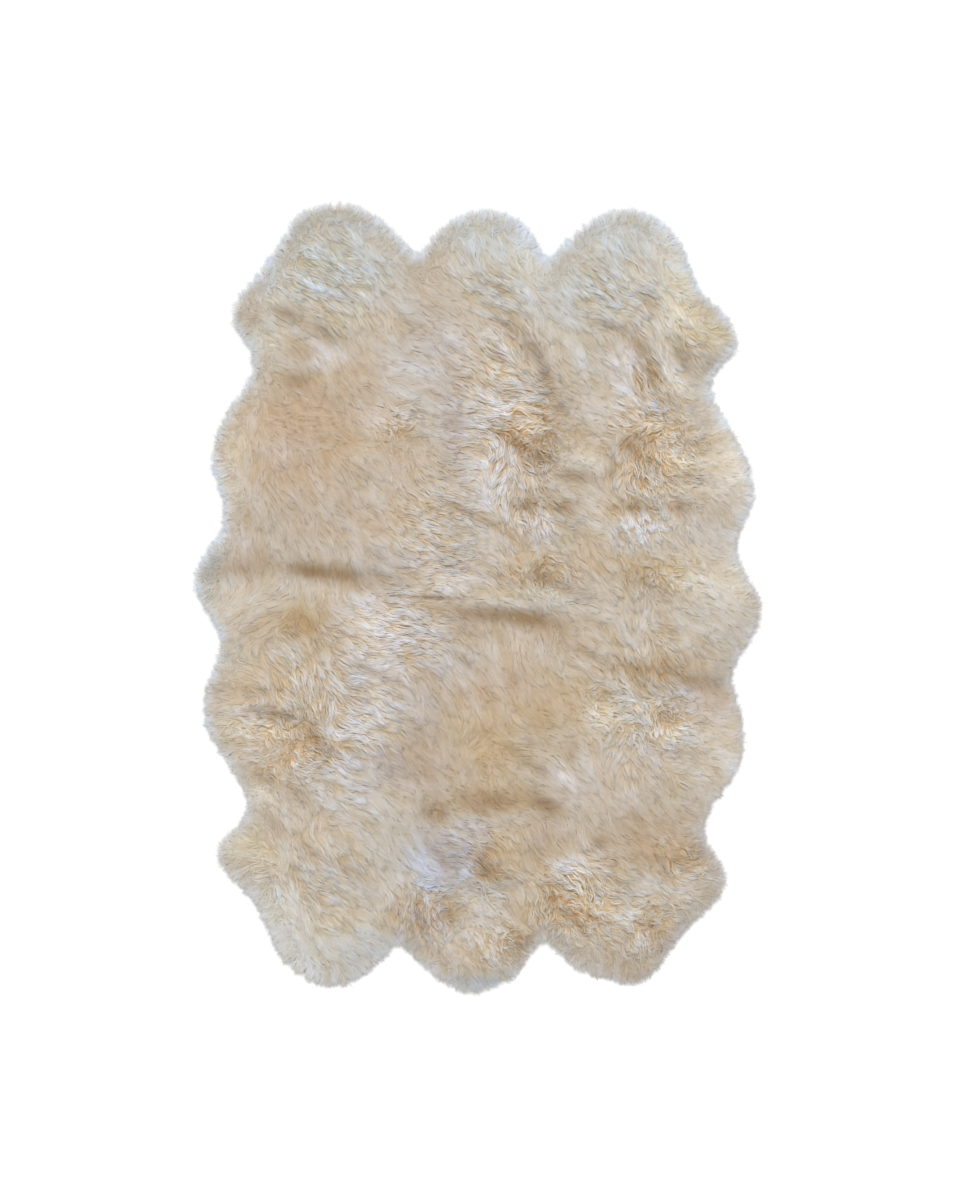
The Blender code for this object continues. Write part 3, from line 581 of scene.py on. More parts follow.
def toneMap():
    # soft ellipses of one shade over another, each fading by exp(-(how far, broken by slow waves) to a
    # power), then the furrows' painted shade, the rim, and painted shade in the hollows and painted light
    # on the crests of the tufts
    tone = np.zeros(mapShape + (3,)) + linear(woolShades["oat"])
    waves = [slowWander(cellPoints, toneSettings["patchWaves"], 100 + i) for i in range(5)]
    for i, (x, y, halfWidth, halfLength, turn, shade, strength) in enumerate(tonePatches):
        broken = 1 + 0.6 * toneSettings["patchWander"] * waves[i % 5]
        away = howFar(x, y, halfWidth, halfLength, turn) * broken
        tone = laid(tone, shade, strength * np.exp(-(away ** toneSettings["patchEdge"])))
    # painted shade: the furrows are darkened towards a brown
    tone = laid(tone, "furrow", furrowPaintedShade)
    facing = smooth(*toneSettings["rimFacing"], cellPoints[..., 1] - 0.6 * cellPoints[..., 0])
    facing = toneSettings["rimLeast"] + (1 - toneSettings["rimLeast"]) * facing
    nearRim = 1 - smooth(*toneSettings["rimBand"], fromRim)
    tone = laid(tone, "rim", toneSettings["rimStrength"] * (facing * nearRim))
    middle = linear(woolShades["oat"])
    tone = np.maximum(middle + (tone - middle) * toneSettings["contrast"], 0.02)
    # painted shade and light: the hollows of the tufts' relief are darkened and its crests lightened
    paintedCrestLight = np.clip(0.5 + 0.5 * (0.7 * tuftMap + 0.6 * swellMap), 0, 1)[..., None]
    uneven = between("paintedHollowShade", "paintedCrestLight", paintedCrestLight)
    level = toneSettings["smoothLevel"] + toneSettings["crispGain"] * crispMap
    return tone * level[..., None] * uneven ** (1.0 + toneSettings["crispPaintedShading"] * crispMap)[..., None]


shadeMap = toneMap()
print("shades of the wool:", len(tonePatches), "patches")


# shader and mesh helpers
class Wire:  # an output socket that takes part in sums: each sum adds its Math node
    def __init__(self, graph, socket):
        self.graph = graph
        self.socket = socket

    def sum(self, operation, first, second):
        return self.graph.add("ShaderNodeMath", {"operation": operation}, {0: first, 1: second})

    def __add__(self, other):
        return self.sum("ADD", self, other)

    def __sub__(self, other):
        return self.sum("SUBTRACT", self, other)

    def __rsub__(self, other):
        return self.sum("SUBTRACT", other, self)

    def __mul__(self, other):
        return self.sum("MULTIPLY", self, other)

    __radd__ = __add__
    __rmul__ = __mul__


class MaterialGraph:  # a new material with its Principled surface; one method adds any other node
    def __init__(self, name, **surface):
        self.material = bpy.data.materials.new(name)
        self.material.use_nodes = True
        self.nodes = self.material.node_tree.nodes
        self.links = self.material.node_tree.links
        self.surface = next(node for node in self.nodes if node.type == "BSDF_PRINCIPLED")
        self.finish(**surface)

    def feed(self, socket, value):
        if isinstance(value, Wire):
            self.links.new(value.socket, socket)
        else:
            socket.default_value = value

    def add(self, kind, settings=None, values=None, output=0):
        node = self.nodes.new(kind)
        for key, value in (settings or {}).items():
            setattr(node, key, value)
        for key, value in (values or {}).items():
            self.feed(node.inputs[key], value)
        return Wire(self, node.outputs[output])

    def noise(self, scale, detail=3.0, roughness=0.55):  # laid on the object, its scale in grains a metre
        where = self.add("ShaderNodeTexCoord", output=3)
        return self.add("ShaderNodeTexNoise", None,
                        {"Vector": where, "Scale": scale, "Detail": detail, "Roughness": roughness})

    def tint(self, blend, share, first, second):  # one colour over another
        return self.add("ShaderNodeMix", {"data_type": "RGBA", "blend_type": blend},
                        {0: share, 6: first, 7: second}, output=2)

    def bump(self, height, strength, distance):
        return self.add("ShaderNodeBump", None,
                        {"Height": height, "Strength": strength, "Distance": distance})

    def finish(self, **surface):
        for socket, value in surface.items():
            self.feed(self.surface.inputs[socket.replace("_", " ")], value)
        return self.material


def meshPiece(name, points, corners, sizes, material, tones=None, cells=None):
    # whole arrays into a new mesh: points, each face's corners one after the other, and each face's size
    mesh = bpy.data.meshes.new(name)
    mesh.vertices.add(len(points))
    mesh.vertices.foreach_set("co", points.astype(np.float32).ravel())
    mesh.loops.add(len(corners))
    mesh.loops.foreach_set("vertex_index", corners.astype(np.int32))
    mesh.polygons.add(len(sizes))
    mesh.polygons.foreach_set("loop_start", np.concatenate([[0], np.cumsum(sizes)[:-1]]).astype(np.int32))
    mesh.update(calc_edges=True)
    if tones is not None:
        tones = np.column_stack([tones, np.ones(len(tones))]).astype(np.float32)
        mesh.attributes.new("woolTone", "FLOAT_COLOR", "POINT").data.foreach_set("color", tones.ravel())
    if cells is not None:
        mesh.uv_layers.new(name="OFBake").data.foreach_set("uv", cells.astype(np.float32).ravel())
    mesh.polygons.foreach_set("use_smooth", np.ones(len(sizes), bool))
    mesh.materials.append(material)
    piece = bpy.data.objects.new(name, mesh)
    bpy.context.scene.collection.objects.link(piece)
    return piece


def settle(piece, *nodes):  # the piece rides with the rug and stands for its pelts
    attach(piece, "root")
    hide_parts(*nodes)
    nodes[0] + "_wool"
    return piece


# materials
def combedWoolMaterial():
    graph = MaterialGraph("combedWool", Sheen_Weight=0.35, Sheen_Roughness=0.45, Specular_IOR_Level=0.25)
    tone = graph.add("ShaderNodeAttribute", {"attribute_name": "woolTone"})
    streak = graph.noise(520, 2.0)
    mottle = graph.noise(38, 4.0)
    warmth = graph.tint("MULTIPLY", mottle * 0.9 - 0.1, tone, (0.96, 0.93, 0.87, 1))
    light = streak * 0.14 + 0.93
    colour = graph.add("ShaderNodeVectorMath", {"operation": "SCALE"}, {0: warmth, "Scale": light})
    return graph.finish(Base_Color=colour, Roughness=streak * 0.3 + 0.62)


def underwoolMaterial():
    graph = MaterialGraph("underwool", Sheen_Weight=0.3, Sheen_Roughness=0.5, Specular_IOR_Level=0.2)
    tone = graph.add("ShaderNodeAttribute", {"attribute_name": "woolTone"})
    felt = graph.noise(260, 5.0, 0.7)
    tuft = graph.noise(70, 3.0)
    colour = graph.tint("MULTIPLY", felt * 1.3 - 0.2, tone, (0.94, 0.90, 0.84, 1))
    relief = graph.bump(felt * 0.6 + tuft, 0.8, 0.004)
    return graph.finish(Base_Color=colour, Roughness=tuft * 0.2 + 0.75, Normal=relief)


def suedeMaterial():
    graph = MaterialGraph("tannedSuede", Sheen_Weight=0.25, Sheen_Roughness=0.4, Specular_IOR_Level=0.3)
    nap = graph.noise(900, 4.0, 0.7)
    cloud = graph.noise(9, 4.0)
    vein = graph.noise(60, 6.0, 0.65)
    pale = graph.tint("MIX", cloud * 1.6 - 0.3, (0.60, 0.49, 0.36, 1), (0.74, 0.66, 0.53, 1))
    colour = graph.tint("MULTIPLY", vein * 0.8 - 0.15, pale, (0.84, 0.78, 0.70, 1))
    relief = graph.bump(nap * 0.5 + vein, 0.5, 0.0012)
    return graph.finish(Base_Color=colour, Roughness=nap * 0.25 + 0.68, Normal=relief)


def threadMaterial():
    graph = MaterialGraph("waxedThread", Sheen_Weight=0.15, Specular_IOR_Level=0.4)
    ply = graph.noise(1500, 2.0)
    colour = graph.tint("MIX", ply, (0.50, 0.41, 0.29, 1), (0.72, 0.63, 0.49, 1))
    relief = graph.bump(ply, 0.4, 0.0003)
    return graph.finish(Base_Color=colour, Roughness=ply * 0.25 + 0.45, Normal=relief)


combedWool = combedWoolMaterial()
underwool = underwoolMaterial()
suede = suedeMaterial()
thread = threadMaterial()
print("materials: combed wool, underwool, suede, thread")


# hides and underwool, cut to each pelt on a square grid whose rim is drawn onto the outline
hideSettings = {"pitch": 0.024, "inset": 0.021, "seamGap": 0.0005, "low": 0.0009, "high": 0.0029}
underwoolSettings = {
    "pitch": 0.013, "inset": 0.014, "seamGap": 0.00005,
    "overHide": 0.0001,
    "below": 0.0026,            # how far under the fleece's surface it lies
    "crispBelow": (0.45, 0.9),  # share of that in smooth wool, and what crisp wool adds
    "least": 0.0012,            # never thinner than this
    "evened": 0.3,              # how near its shade is to the rug's middle one
    # painted light: the underwool is made paler, as it shows in the shaded gaps between locks
    "paintedGapLight": 1.08,
}
cutSettings = {"slides": 6, "nudge": 0.003, "leastSlope": 0.15, "longestSlide": 0.3, "junctionRoom": 0.03}


def cutToShape(depth, pitch):
    # squares whose middle lies inside; then each rim corner slides by depth times slope over slope
    # squared, onto the line where the depth is zero, a few times and never far at once
    counts = [int((mapShape[1 - i] * cell) / pitch) for i in (0, 1)]
    columns, rows = np.meshgrid(np.arange(counts[0]), np.arange(counts[1]))
    low = mapLow + np.stack([columns, rows], -1) * pitch
    kept = sampled(depth, low + pitch / 2) > 0
    wide = counts[0] + 1
    first = (rows * wide + columns)[kept]
    quads = np.column_stack([first, first + 1, first + wide + 1, first + wide])
    used, quads = np.unique(quads, return_inverse=True)
    quads = quads.reshape(-1, 4)
    points = mapLow + np.column_stack([used % wide, used // wide]) * pitch
    edges = np.concatenate([quads[:, [i, (i + 1) % 4]] for i in range(4)])
    key, back = edges[:, 0] * len(points) + edges[:, 1], edges[:, 1] * len(points) + edges[:, 0]
    rim = edges[~np.isin(key, back)]
    onRim = np.unique(rim)
    nudge = cutSettings["nudge"]
    for _ in range(cutSettings["slides"]):
        spot = points[onRim]
        slope = np.stack([sampled(depth, spot + step) - sampled(depth, spot - step)
                          for step in nudge * np.eye(2)], -1) / (2 * nudge)
        steep = np.maximum(np.sum(slope ** 2, -1), cutSettings["leastSlope"])
        slide = slope * (sampled(depth, spot) / steep)[:, None]
        far = np.linalg.norm(slide, axis=1, keepdims=True) / (cutSettings["longestSlide"] * pitch)
        points[onRim] = spot - slide / np.maximum(far, 1)
    for junction in junctions:      # the corner nearest to where four pelts meet goes there
        away = np.linalg.norm(points[onRim] - junction, axis=1)
        if away.min() < pitch:
            corner = onRim[away.argmin()]
            points[corner] = junction + cutSettings["junctionRoom"] * (points[corner] - junction)
    return points, quads, rim


def cutPelt(pelt, settings):  # inside the rug's outline by inset, and inside the pelt's seams by seamGap
    depth = np.minimum(fromRim - settings["inset"], peltDepth[pelt] - settings["seamGap"])
    return cutToShape(depth, settings["pitch"])


def slab(name, points, quads, rim, low, high, material, tones=None):
    # the cut shape twice, face up and face down, with a wall of upright faces between their rims
    count = len(points)
    wall = np.column_stack([rim, rim[:, ::-1] + count])
    corners = np.concatenate([quads + count, quads[:, ::-1], wall])
    solid = np.concatenate([np.column_stack([points, np.broadcast_to(low, count)]),
                            np.column_stack([points, np.broadcast_to(high, count)])])
    if tones is not None:
        tones = np.concatenate([tones, tones])
    return meshPiece(name, solid, corners.ravel(), np.full(len(corners), 4), material, tones)


def flatArea(points, quads):  # half the cross product of each square's diagonals
    a, b = points[quads[:, 2]] - points[quads[:, 0]], points[quads[:, 3]] - points[quads[:, 1]]
    return 0.5 * np.abs(a[:, 0] * b[:, 1] - a[:, 1] * b[:, 0]).sum()


hides, underwools, hideCuts = {}, {}, {}
underSmooth, underCrisp = underwoolSettings["crispBelow"]
evened = underwoolSettings["evened"]
for pelt in pelts:
    points, quads, rim = cutPelt(pelt, hideSettings)
    hides[pelt] = slab(pelt.replace("pelt_", "hide_"), points, quads, rim,
                       hideSettings["low"], hideSettings["high"], suede)
    hideCuts[pelt] = (np.ptp(points, axis=0), flatArea(points, quads))
    points, quads, rim = cutPelt(pelt, underwoolSettings)
    low = hideSettings["high"] + underwoolSettings["overHide"]
    under = underwoolSettings["below"] * (underSmooth + underCrisp * sampled(crispMap, points))
    high = np.maximum(sampled(surfaceMap, points) - under, low + underwoolSettings["least"])
    tones = sampled(shadeMap, points) * (1 - evened) + linear(woolShades["oat"]) * evened
    # painted light in the gaps between locks
    tones = np.clip(tones * underwoolSettings["paintedGapLight"], 0, 0.92)
    underwools[pelt] = slab(pelt.replace("pelt_", "underwool_"), points, quads, rim,
                            low, high, underwool, tones)
    settle(hides[pelt], pelt)
    settle(underwools[pelt], pelt)
faceCounts = [len(piece.data.polygons) for piece in [*hides.values(), *underwools.values()]]
print("hides and underwool:", sum(faceCounts), "faces")


# the fleece: locks of combed strands, each strand a narrow ribbon lying over the ones below it
fleeceSettings = {
    "lockPitch": 0.0079,        # spacing of the lock roots
    "kept": 0.73,               # share of the locks that smooth wool keeps
    "strands": 4,               # strands in a lock
    "marked": (0.28, 2.1),      # how marked the locks of smooth wool are, and what crisp wool adds
    "length": 0.044,            # how far a lock lies over its neighbours
    "curlShorter": 0.28,        # share of the length that curly locks lack
    "rootInset": 0.021,         # no root nearer the outline than this
    "pastOutline": (0.002, 0.009),  # how far past the smooth outline the tips may reach
    "width": 0.0022,            # widest part of a strand
    "halfLock": 0.0050,         # half the width of a lock
    "taper": (1.0, 1.05, 0.95, 0.72, 0.42),  # how a lock narrows to its tip
    "rootDepth": 0.0038,        # roots lie this far under the surface
    "tipLift": 0.0013,
    "arch": 0.0007,             # middle of a lock over its edges
    "archShape": (0.5, 1, 1, 0.8, 0.3),     # and how that goes from root to tip
    "layering": 0.00035,        # strands and locks differ in height by about this
    "jitter": 0.10,             # how much locks differ in the way they lie, in radians
    "wave": 0.24,               # swing of a lock's S, in radians
    "curlWave": 1.25,
    "crossing": 0.55,           # share of the locks at a parting that lie across it
    "crossTurn": (1.4, 3.4),    # by how far they turn, in radians
    "loose": 0.0013,            # how far a strand strays from its lock
    "strays": (0.07, 4),        # share of the strands that stray further, and how many times as far
}
tuftSettings = {"pitch": 0.021, "length": 0.050, "pull": 0.50, "lift": 0.0022}   # locks lean together
# thin strands out of the rim's wool
rimSettings = dict(fleeceSettings, strands=2, length=0.034, width=0.0011, halfLock=0.0035,
                   pastOutline=(0.004, 0.018), rootDepth=0.002, jitter=0.30, wave=0.35, loose=0.003,
                   layering=0.0016, count=7200, band=(0.012, 0.034))
knots = np.array([0.0, 0.28, 0.54, 0.78, 1.0])     # shares of a strand's length
pathSteps = 14


def scattered(pitch, inset):
    # rows of points, every other row half a step along, each moved a little; smooth wool has fewer
    width, height = np.array(mapShape[::-1]) * cell
    rowPitch = pitch * 0.866
    columns, rows = np.meshgrid(np.arange(int(width / pitch)), np.arange(int(height / rowPitch)))
    roots = np.stack([(columns + 0.5 * (rows % 2)) * pitch, rows * rowPitch], -1).reshape(-1, 2) + mapLow
    roots = roots + rng.uniform(-0.45, 0.45, roots.shape) * pitch
    roots = roots[sampled(fromRim, roots) > inset]
    standing = smooth(0.1, 0.6, sampled(crispMap, roots) + 0.4 * sampled(curlMap, roots))
    kept = fleeceSettings["kept"]
    return roots[rng.random(len(roots)) < kept + (1 - kept) * standing]


def rimRoots():  # places picked at random from the band of wool along the outline
    near, deep = rimSettings["band"]
    band = cellPoints[(fromRim > near) & (fromRim < deep)]
    picked = band[rng.integers(0, len(band), rimSettings["count"])]
    return picked + rng.uniform(-0.5, 0.5, picked.shape) * cell


def lockPaths(roots, length, turn, wave, reach):
    # each lock walks along the lie of the wool in short steps, its angle the arrow's + turn + wave times
    # the cosine of its phase and share of the walk; it stops where it's out past the outline by reach
    phase = rng.uniform(0, 2 * math.pi, len(roots))
    swing = rng.uniform(0.7, 1.3, len(roots))
    spots = [roots]
    for i in range(pathSteps):
        arrow = sampled(arrowMap, spots[-1])
        angle = np.arctan2(arrow[:, 1], arrow[:, 0]) + turn
        angle = angle + wave * np.cos(phase + 2 * math.pi * swing * (i + 0.5) / pathSteps)
        step = np.column_stack([np.cos(angle), np.sin(angle)]) * (length / pathSteps)[:, None]
        spots.append(spots[-1] + step)
    path = np.stack(spots, 1)
    beyond = sampled(fromRim, path) < -reach[:, None]
    stop = np.where(beyond.any(1), beyond.argmax(1), pathSteps).astype(float)
    return path, np.maximum(stop, 2) / pathSteps


def along(path, share):  # points at shares of a path, read between its steps
    place = np.clip(share, 0, 1) * pathSteps
    low = np.minimum(place.astype(int), pathSteps - 1)
    part = (place - low)[..., None]
    rows = np.arange(len(path))[:, None]
    return path[rows, low] * (1 - part) + path[rows, low + 1] * part


def nearestRoot(roots, centres):  # each root's nearest centre, by the least squared distance
    found = np.zeros(len(roots), int)
    for i in range(0, len(roots), 2000):
        part = roots[i:i + 2000]
        gap = np.sum((part[:, None] - centres[None]) ** 2, -1)
        found[i:i + 2000] = gap.argmin(1)
    return found


def ribbons(line, width, roll):
    # a ribbon along each line: two edge points a knot, at the line plus and minus half the width times a
    # level arrow across it, turned by roll about the line; the tip is one point
    ahead = unit(np.gradient(line, axis=1))
    level = unit(np.stack([-ahead[..., 1], ahead[..., 0], np.zeros(ahead.shape[:2])], -1))
    across = level * np.cos(roll)[..., None] + np.cross(ahead, level) * np.sin(roll)[..., None]
    shape = np.array([0.75, 1.0, 0.95, 0.62])
    half = across[:, :4] * (0.5 * width[:, None] * shape)[..., None]
    edges = np.stack([line[:, :4] - half, line[:, :4] + half], 2).reshape(len(line), 8, 3)
    return np.concatenate([edges, line[:, 4:]], 1)


# corners of one ribbon: right edge, next right, next left, left, three times, and the tip's triangle
ribbonCorners = np.array([0, 2, 3, 1, 2, 4, 5, 3, 4, 6, 7, 5, 6, 8, 7])
ribbonSizes = np.array([4, 4, 4, 3])
ribbonAcross = np.array([0.8, 0.2, 0.8, 0.2, 0.8, 0.2, 0.75, 0.25, 0.5])
ribbonAlong = np.array([0.1, 0.1, 0.3, 0.3, 0.55, 0.55, 0.78, 0.78, 0.95])


def bakeCells(count):  # each ribbon's own small square of the unwrapped sheet, row after row
    columns = int(math.ceil(math.sqrt(count)))
    number = np.arange(count)
    u = (number % columns)[:, None] + ribbonAcross
    v = (number // columns)[:, None] + ribbonAlong
    cells = np.stack([u, v], -1) / columns
    return cells[:, ribbonCorners].reshape(-1, 2)


def strandTones(spots, height, bright, detail, pale):
    # the map's shade under the strand, tan at the root and white at the tip, partly its own colour and
    # partly painted shade and light, then painted shade where it lies low and painted light where it lies
    # high, and all of that more so where the wool is marked
    tone = sampled(shadeMap, spots) * np.array(toneSettings["gain"])
    bare = 1 - smooth(*toneSettings["bareRim"], sampled(fromRim, spots))
    bare = toneSettings["bareShare"] * bare[..., None]
    ramp = np.maximum(smooth(0.15, 1.0, knots)[None, :, None], bare)
    # painted shade and light by height: strands lying low are darkened and warmed, those on top lightened
    high = np.maximum(smooth(*toneSettings["paintedShadeToLightHeights"], height)[..., None], bare)
    tone = tone * (between("root", "tip", ramp) * between("low", "top", high)) ** detail[:, None, None]
    tone = tone * (1 + pale[:, None, None] * np.array(toneSettings["pale"]))
    return np.clip(tone * bright[:, None, None], 0.02, 0.93)


def tuftPaths():  # the line that each tuft's locks lean towards, and how much higher or lower it lies
    roots = scattered(tuftSettings["pitch"], 0.5 * fleeceSettings["rootInset"])
    curl = sampled(curlMap, roots)
    length = tuftSettings["length"] * rng.uniform(0.75, 1.2, len(roots)) * (1 - 0.4 * curl)
    turn = rng.normal(0, 0.14, len(roots)) * (1 + 1.5 * curl)
    path, _ = lockPaths(roots, length, turn, 0.25 + 0.6 * curl, np.full(len(roots), 0.02))
    return roots, path, rng.normal(0, 0.0010, len(roots))


def laidLocks(roots, settings, detail):  # each lock's path over the rug and the share of it that is wool
    count = len(roots)
    curl = sampled(curlMap, roots)
    reach = rng.uniform(*settings["pastOutline"], count)
    length = settings["length"] * rng.uniform(0.8, 1.15, count) * (1 - settings["curlShorter"] * curl)
    turn = rng.normal(0, settings["jitter"], count) * (0.6 + 0.5 * detail + 1.5 * curl)
    crossing = rng.random(count) < settings["crossing"] * sampled(partingMap, roots)
    turn = turn + crossing * rng.uniform(*settings["crossTurn"], count) * rng.choice((-1, 1), count)
    wave = settings["wave"] * (1 - curl) + settings["curlWave"] * curl
    return lockPaths(roots, length, turn, wave, reach)


def leaned(roots, path, detail, tufts):
    # each lock's path drawn to its tuft's, more and more to the tip, and its lift, most in the middle
    tuftRoot, tuftPath, tuftHeight = tufts
    mine = nearestRoot(roots, tuftRoot)
    pull = (tuftSettings["pull"] + 0.12 * detail)[:, None] * np.linspace(0, 1, pathSteps + 1) ** 1.3
    path = path + (tuftPath[mine] - path) * np.minimum(pull, 0.85)[..., None]
    nearMiddle = 1 - np.linalg.norm(roots - tuftRoot[mine], axis=1) / (0.6 * tuftSettings["pitch"])
    raised = (tuftSettings["lift"] * nearMiddle + tuftHeight[mine]) * np.clip(detail - 0.15, 0.2, 1.3)
    return path, raised


def growLocks(roots, settings, tufts=None):
    # strands side by side along each lock's path; a knot's height is the surface's, less the root's
    # depth, plus the tip's lift, the arch over the lock's middle and what lifts its tuft
    count = len(roots)
    markedSmooth, markedCrisp = settings["marked"]
    detail = markedSmooth + markedCrisp * sampled(crispMap, roots)
    path, stop = laidLocks(roots, settings, detail)
    raised = np.zeros(count)
    if tufts is not None:
        path, raised = leaned(roots, path, detail, tufts)
    owner = ownerMap[tuple(((roots - mapLow) / cell).astype(int).T[::-1])]
    lockHeight = rng.normal(0, settings["layering"], count) * detail
    lockBright = 1 + rng.normal(0, 0.03, count) * detail
    depth = settings["rootDepth"] * np.minimum(0.05 + 0.7 * detail, 1.3)
    depth = np.minimum(depth, 0.6 * sampled(surfaceMap, roots))

    lock = np.repeat(np.arange(count), settings["strands"])
    strands = len(lock)
    marked = detail[lock]
    side = rng.uniform(-1, 1, strands)
    start = rng.uniform(-0.10, 0.10, strands)
    reachShare = rng.uniform(0.78, 1.0, strands) * stop[lock]
    centre = along(path[lock], start[:, None] * (1 - knots) + reachShare[:, None] * knots)
    ahead = unit(np.gradient(centre, axis=1))
    sideways = np.stack([-ahead[..., 1], ahead[..., 0]], -1)
    strayShare, strayFar = settings["strays"]
    stray = np.where(rng.random(strands) < strayShare, strayFar, 1)
    loose = stray * rng.normal(0, settings["loose"], strands)
    offset = side[:, None] * settings["halfLock"] * np.array(settings["taper"])
    offset = offset + loose[:, None] * knots ** 2
    rootShift = (rng.uniform(-0.5, 0.5, (strands, 1, 1)) * ahead[:, :1]) * settings["lockPitch"]
    flat = centre + sideways * offset[..., None] + rootShift * (1 - knots[None, :, None])

    sink = depth[lock][:, None] * (1 - smooth(0.0, 0.50, knots)) ** 1.3
    lift = settings["tipLift"] * smooth(0.4, 1.0, knots) * marked[:, None]
    lift = lift * rng.uniform(-0.3, 1.3, (strands, 1))
    arch = settings["arch"] * marked[:, None] * (1 - side[:, None] ** 2) * np.array(settings["archShape"])
    uneven = (lockHeight[lock] + marked * rng.normal(0, 0.6 * settings["layering"], strands))[:, None]
    uneven = uneven * smooth(0, 0.4, knots) + raised[lock][:, None] * smooth(0.2, 1.0, knots)
    height = sampled(surfaceMap, flat) - sink + lift + arch + uneven
    height = np.maximum(height, 0.0005 + 0.0025 * (1 - knots) * rng.random((strands, 1)))
    line = np.concatenate([flat, height[..., None]], 2)
    width = settings["width"] * rng.uniform(0.6, 1.15, strands)
    width = width * np.clip(1.55 - 0.32 * marked, 0.85, 1.45)
    roll = ((-side * 0.15 + rng.normal(0, 0.08, strands)) * marked)[:, None] * np.ones(len(knots))
    bright = lockBright[lock] * (1 + rng.normal(0, 0.035, strands) * marked)
    pale = np.clip(rng.normal(0, 1, strands), -2, 2) * (0.55 + 0.4 * marked)
    tones = strandTones(flat, arch + uneven - sink, bright, marked, pale)
    tones = np.concatenate([np.repeat(tones[:, :4], 2, axis=1), tones[:, 4:]], 1)
    return ribbons(line, width, roll), tones, owner[lock], flat[:, 2]


tufts = tuftPaths()
lockRoots = scattered(fleeceSettings["lockPitch"], fleeceSettings["rootInset"])
grown = [growLocks(lockRoots, fleeceSettings, tufts), growLocks(rimRoots(), rimSettings)]
points, tones, owners, middles = [np.concatenate(parts) for parts in zip(*grown)]
fleeces = {}
for i, pelt in enumerate(pelts):
    mine = np.flatnonzero(owners == i)
    stripe = np.floor(middles[mine, 1] / 0.03)     # neighbours share a corner of the unwrapped sheet
    mine = mine[np.lexsort((middles[mine, 0], stripe))]
    corners = (np.arange(len(mine))[:, None] * 9 + ribbonCorners).ravel()
    fleeces[pelt] = meshPiece(pelt.replace("pelt_", "fleece_"), points[mine].reshape(-1, 3), corners,
                              np.tile(ribbonSizes, len(mine)), combedWool,
                              tones[mine].reshape(-1, 3), bakeCells(len(mine)))
    settle(fleeces[pelt], pelt)
    print(fleeces[pelt].name, len(mine), "strands")
print("fleece:", len(points), "strands,", len(points) * 7, "triangles")


# the seams' stitches, whipped over the butted edges of the hides on the underside
stitchSettings = {
    "pitch": 0.0065,
    "bend": (-1, -0.75, 0, 0.75, 1),    # where a stitch's path bends, over half its span
    "halfSpan": 0.0034, "slant": 0.0018,
    "heights": (0.0014, 0.00055, 0.00045, 0.00055, 0.0014),     # its ends are in the hide
    "radius": 0.00032, "sides": 3,
}


def seamLine(before, after, byRow):
    # where the cells of some pelts end and the next ones' begin, read row by row or column by column,
    # each place the mean of nine
    sewn = fromRim > hideSettings["inset"]
    first = sewn & np.isin(ownerMap, [pelts.index(pelt) for pelt in before])
    second = sewn & np.isin(ownerMap, [pelts.index(pelt) for pelt in after])
    if not byRow:
        first, second = first.T, second.T
    number = np.arange(first.shape[1])
    last = np.where(first, number, -99).max(1)
    following = np.where(second, number, 9999).min(1)
    rows = np.flatnonzero(np.abs(following - last) < 3)
    middle = 0.5 * (last + following + 1)[rows]
    middle = np.convolve(np.pad(middle, 4, mode="edge"), np.full(9, 1 / 9), "valid")
    spots = np.column_stack([middle, rows + 0.5] if byRow else [rows + 0.5, middle])
    return spots * cell + mapLow


def stitches(name, line, nodes):
    # for each stitch a tube along a bent path slanting over the seam: path + radius times the cosine of a
    # turn on the level arrow across it and the sine of it on the upright one
    walked = np.concatenate([[0], np.cumsum(np.linalg.norm(np.diff(line, axis=0), axis=1))])
    at = np.arange(0.5 * stitchSettings["pitch"], walked[-1], stitchSettings["pitch"])
    centre = np.column_stack([np.interp(at, walked, line[:, i]) for i in (0, 1)])
    ahead = unit(np.gradient(centre, axis=0))
    across = np.column_stack([-ahead[:, 1], ahead[:, 0]])
    bend = np.array(stitchSettings["bend"])[:, None]
    flat = (centre[:, None] + across[:, None] * bend * stitchSettings["halfSpan"]
            + ahead[:, None] * bend * stitchSettings["slant"])
    height = np.broadcast_to(stitchSettings["heights"], flat.shape[:2])
    path = np.concatenate([flat, height[..., None]], 2)
    forward = unit(np.gradient(path, axis=1))
    upright = unit(np.cross(forward, np.column_stack([ahead, np.zeros(len(ahead))])[:, None]))
    level = np.cross(upright, forward)
    sides, bends = stitchSettings["sides"], len(bend)
    turns = 0.5 * math.pi + 2 * math.pi * np.arange(sides)[:, None] / sides
    ring = level[:, :, None] * np.cos(turns) + upright[:, :, None] * np.sin(turns)
    points = path[:, :, None] + ring * stitchSettings["radius"]
    a = np.arange(bends - 1)[:, None] * sides + np.arange(sides)
    b = np.arange(bends - 1)[:, None] * sides + (np.arange(sides) + 1) % sides
    quads = np.stack([a, b, b + sides, a + sides], -1).reshape(-1, 4)
    caps = np.concatenate([np.arange(sides)[::-1], (bends - 1) * sides + np.arange(sides)])
    corners = np.arange(len(path))[:, None] * bends * sides + np.concatenate([quads.ravel(), caps])
    sizes = np.tile([4] * len(quads) + [sides, sides], len(path))
    return settle(meshPiece(name, points.reshape(-1, 3), corners.ravel(), sizes, thread), *nodes)


leftPelts, middlePelts, rightPelts = [["pelt_upper_" + side, "pelt_lower_" + side]
                                      for side in ("left", "middle", "right")]
upperPelts = [pelt for pelt in pelts if "upper" in pelt]
lowerPelts = [pelt for pelt in pelts if "lower" in pelt]
seams = [stitches("seam_thread_left", seamLine(leftPelts, middlePelts, True), leftPelts + middlePelts),
         stitches("seam_thread_right", seamLine(middlePelts, rightPelts, True), middlePelts + rightPelts),
         stitches("seam_thread_cross", seamLine(lowerPelts, upperPelts, False), pelts)]
print("seam stitches:", sum(len(seam.data.polygons) for seam in seams), "faces")


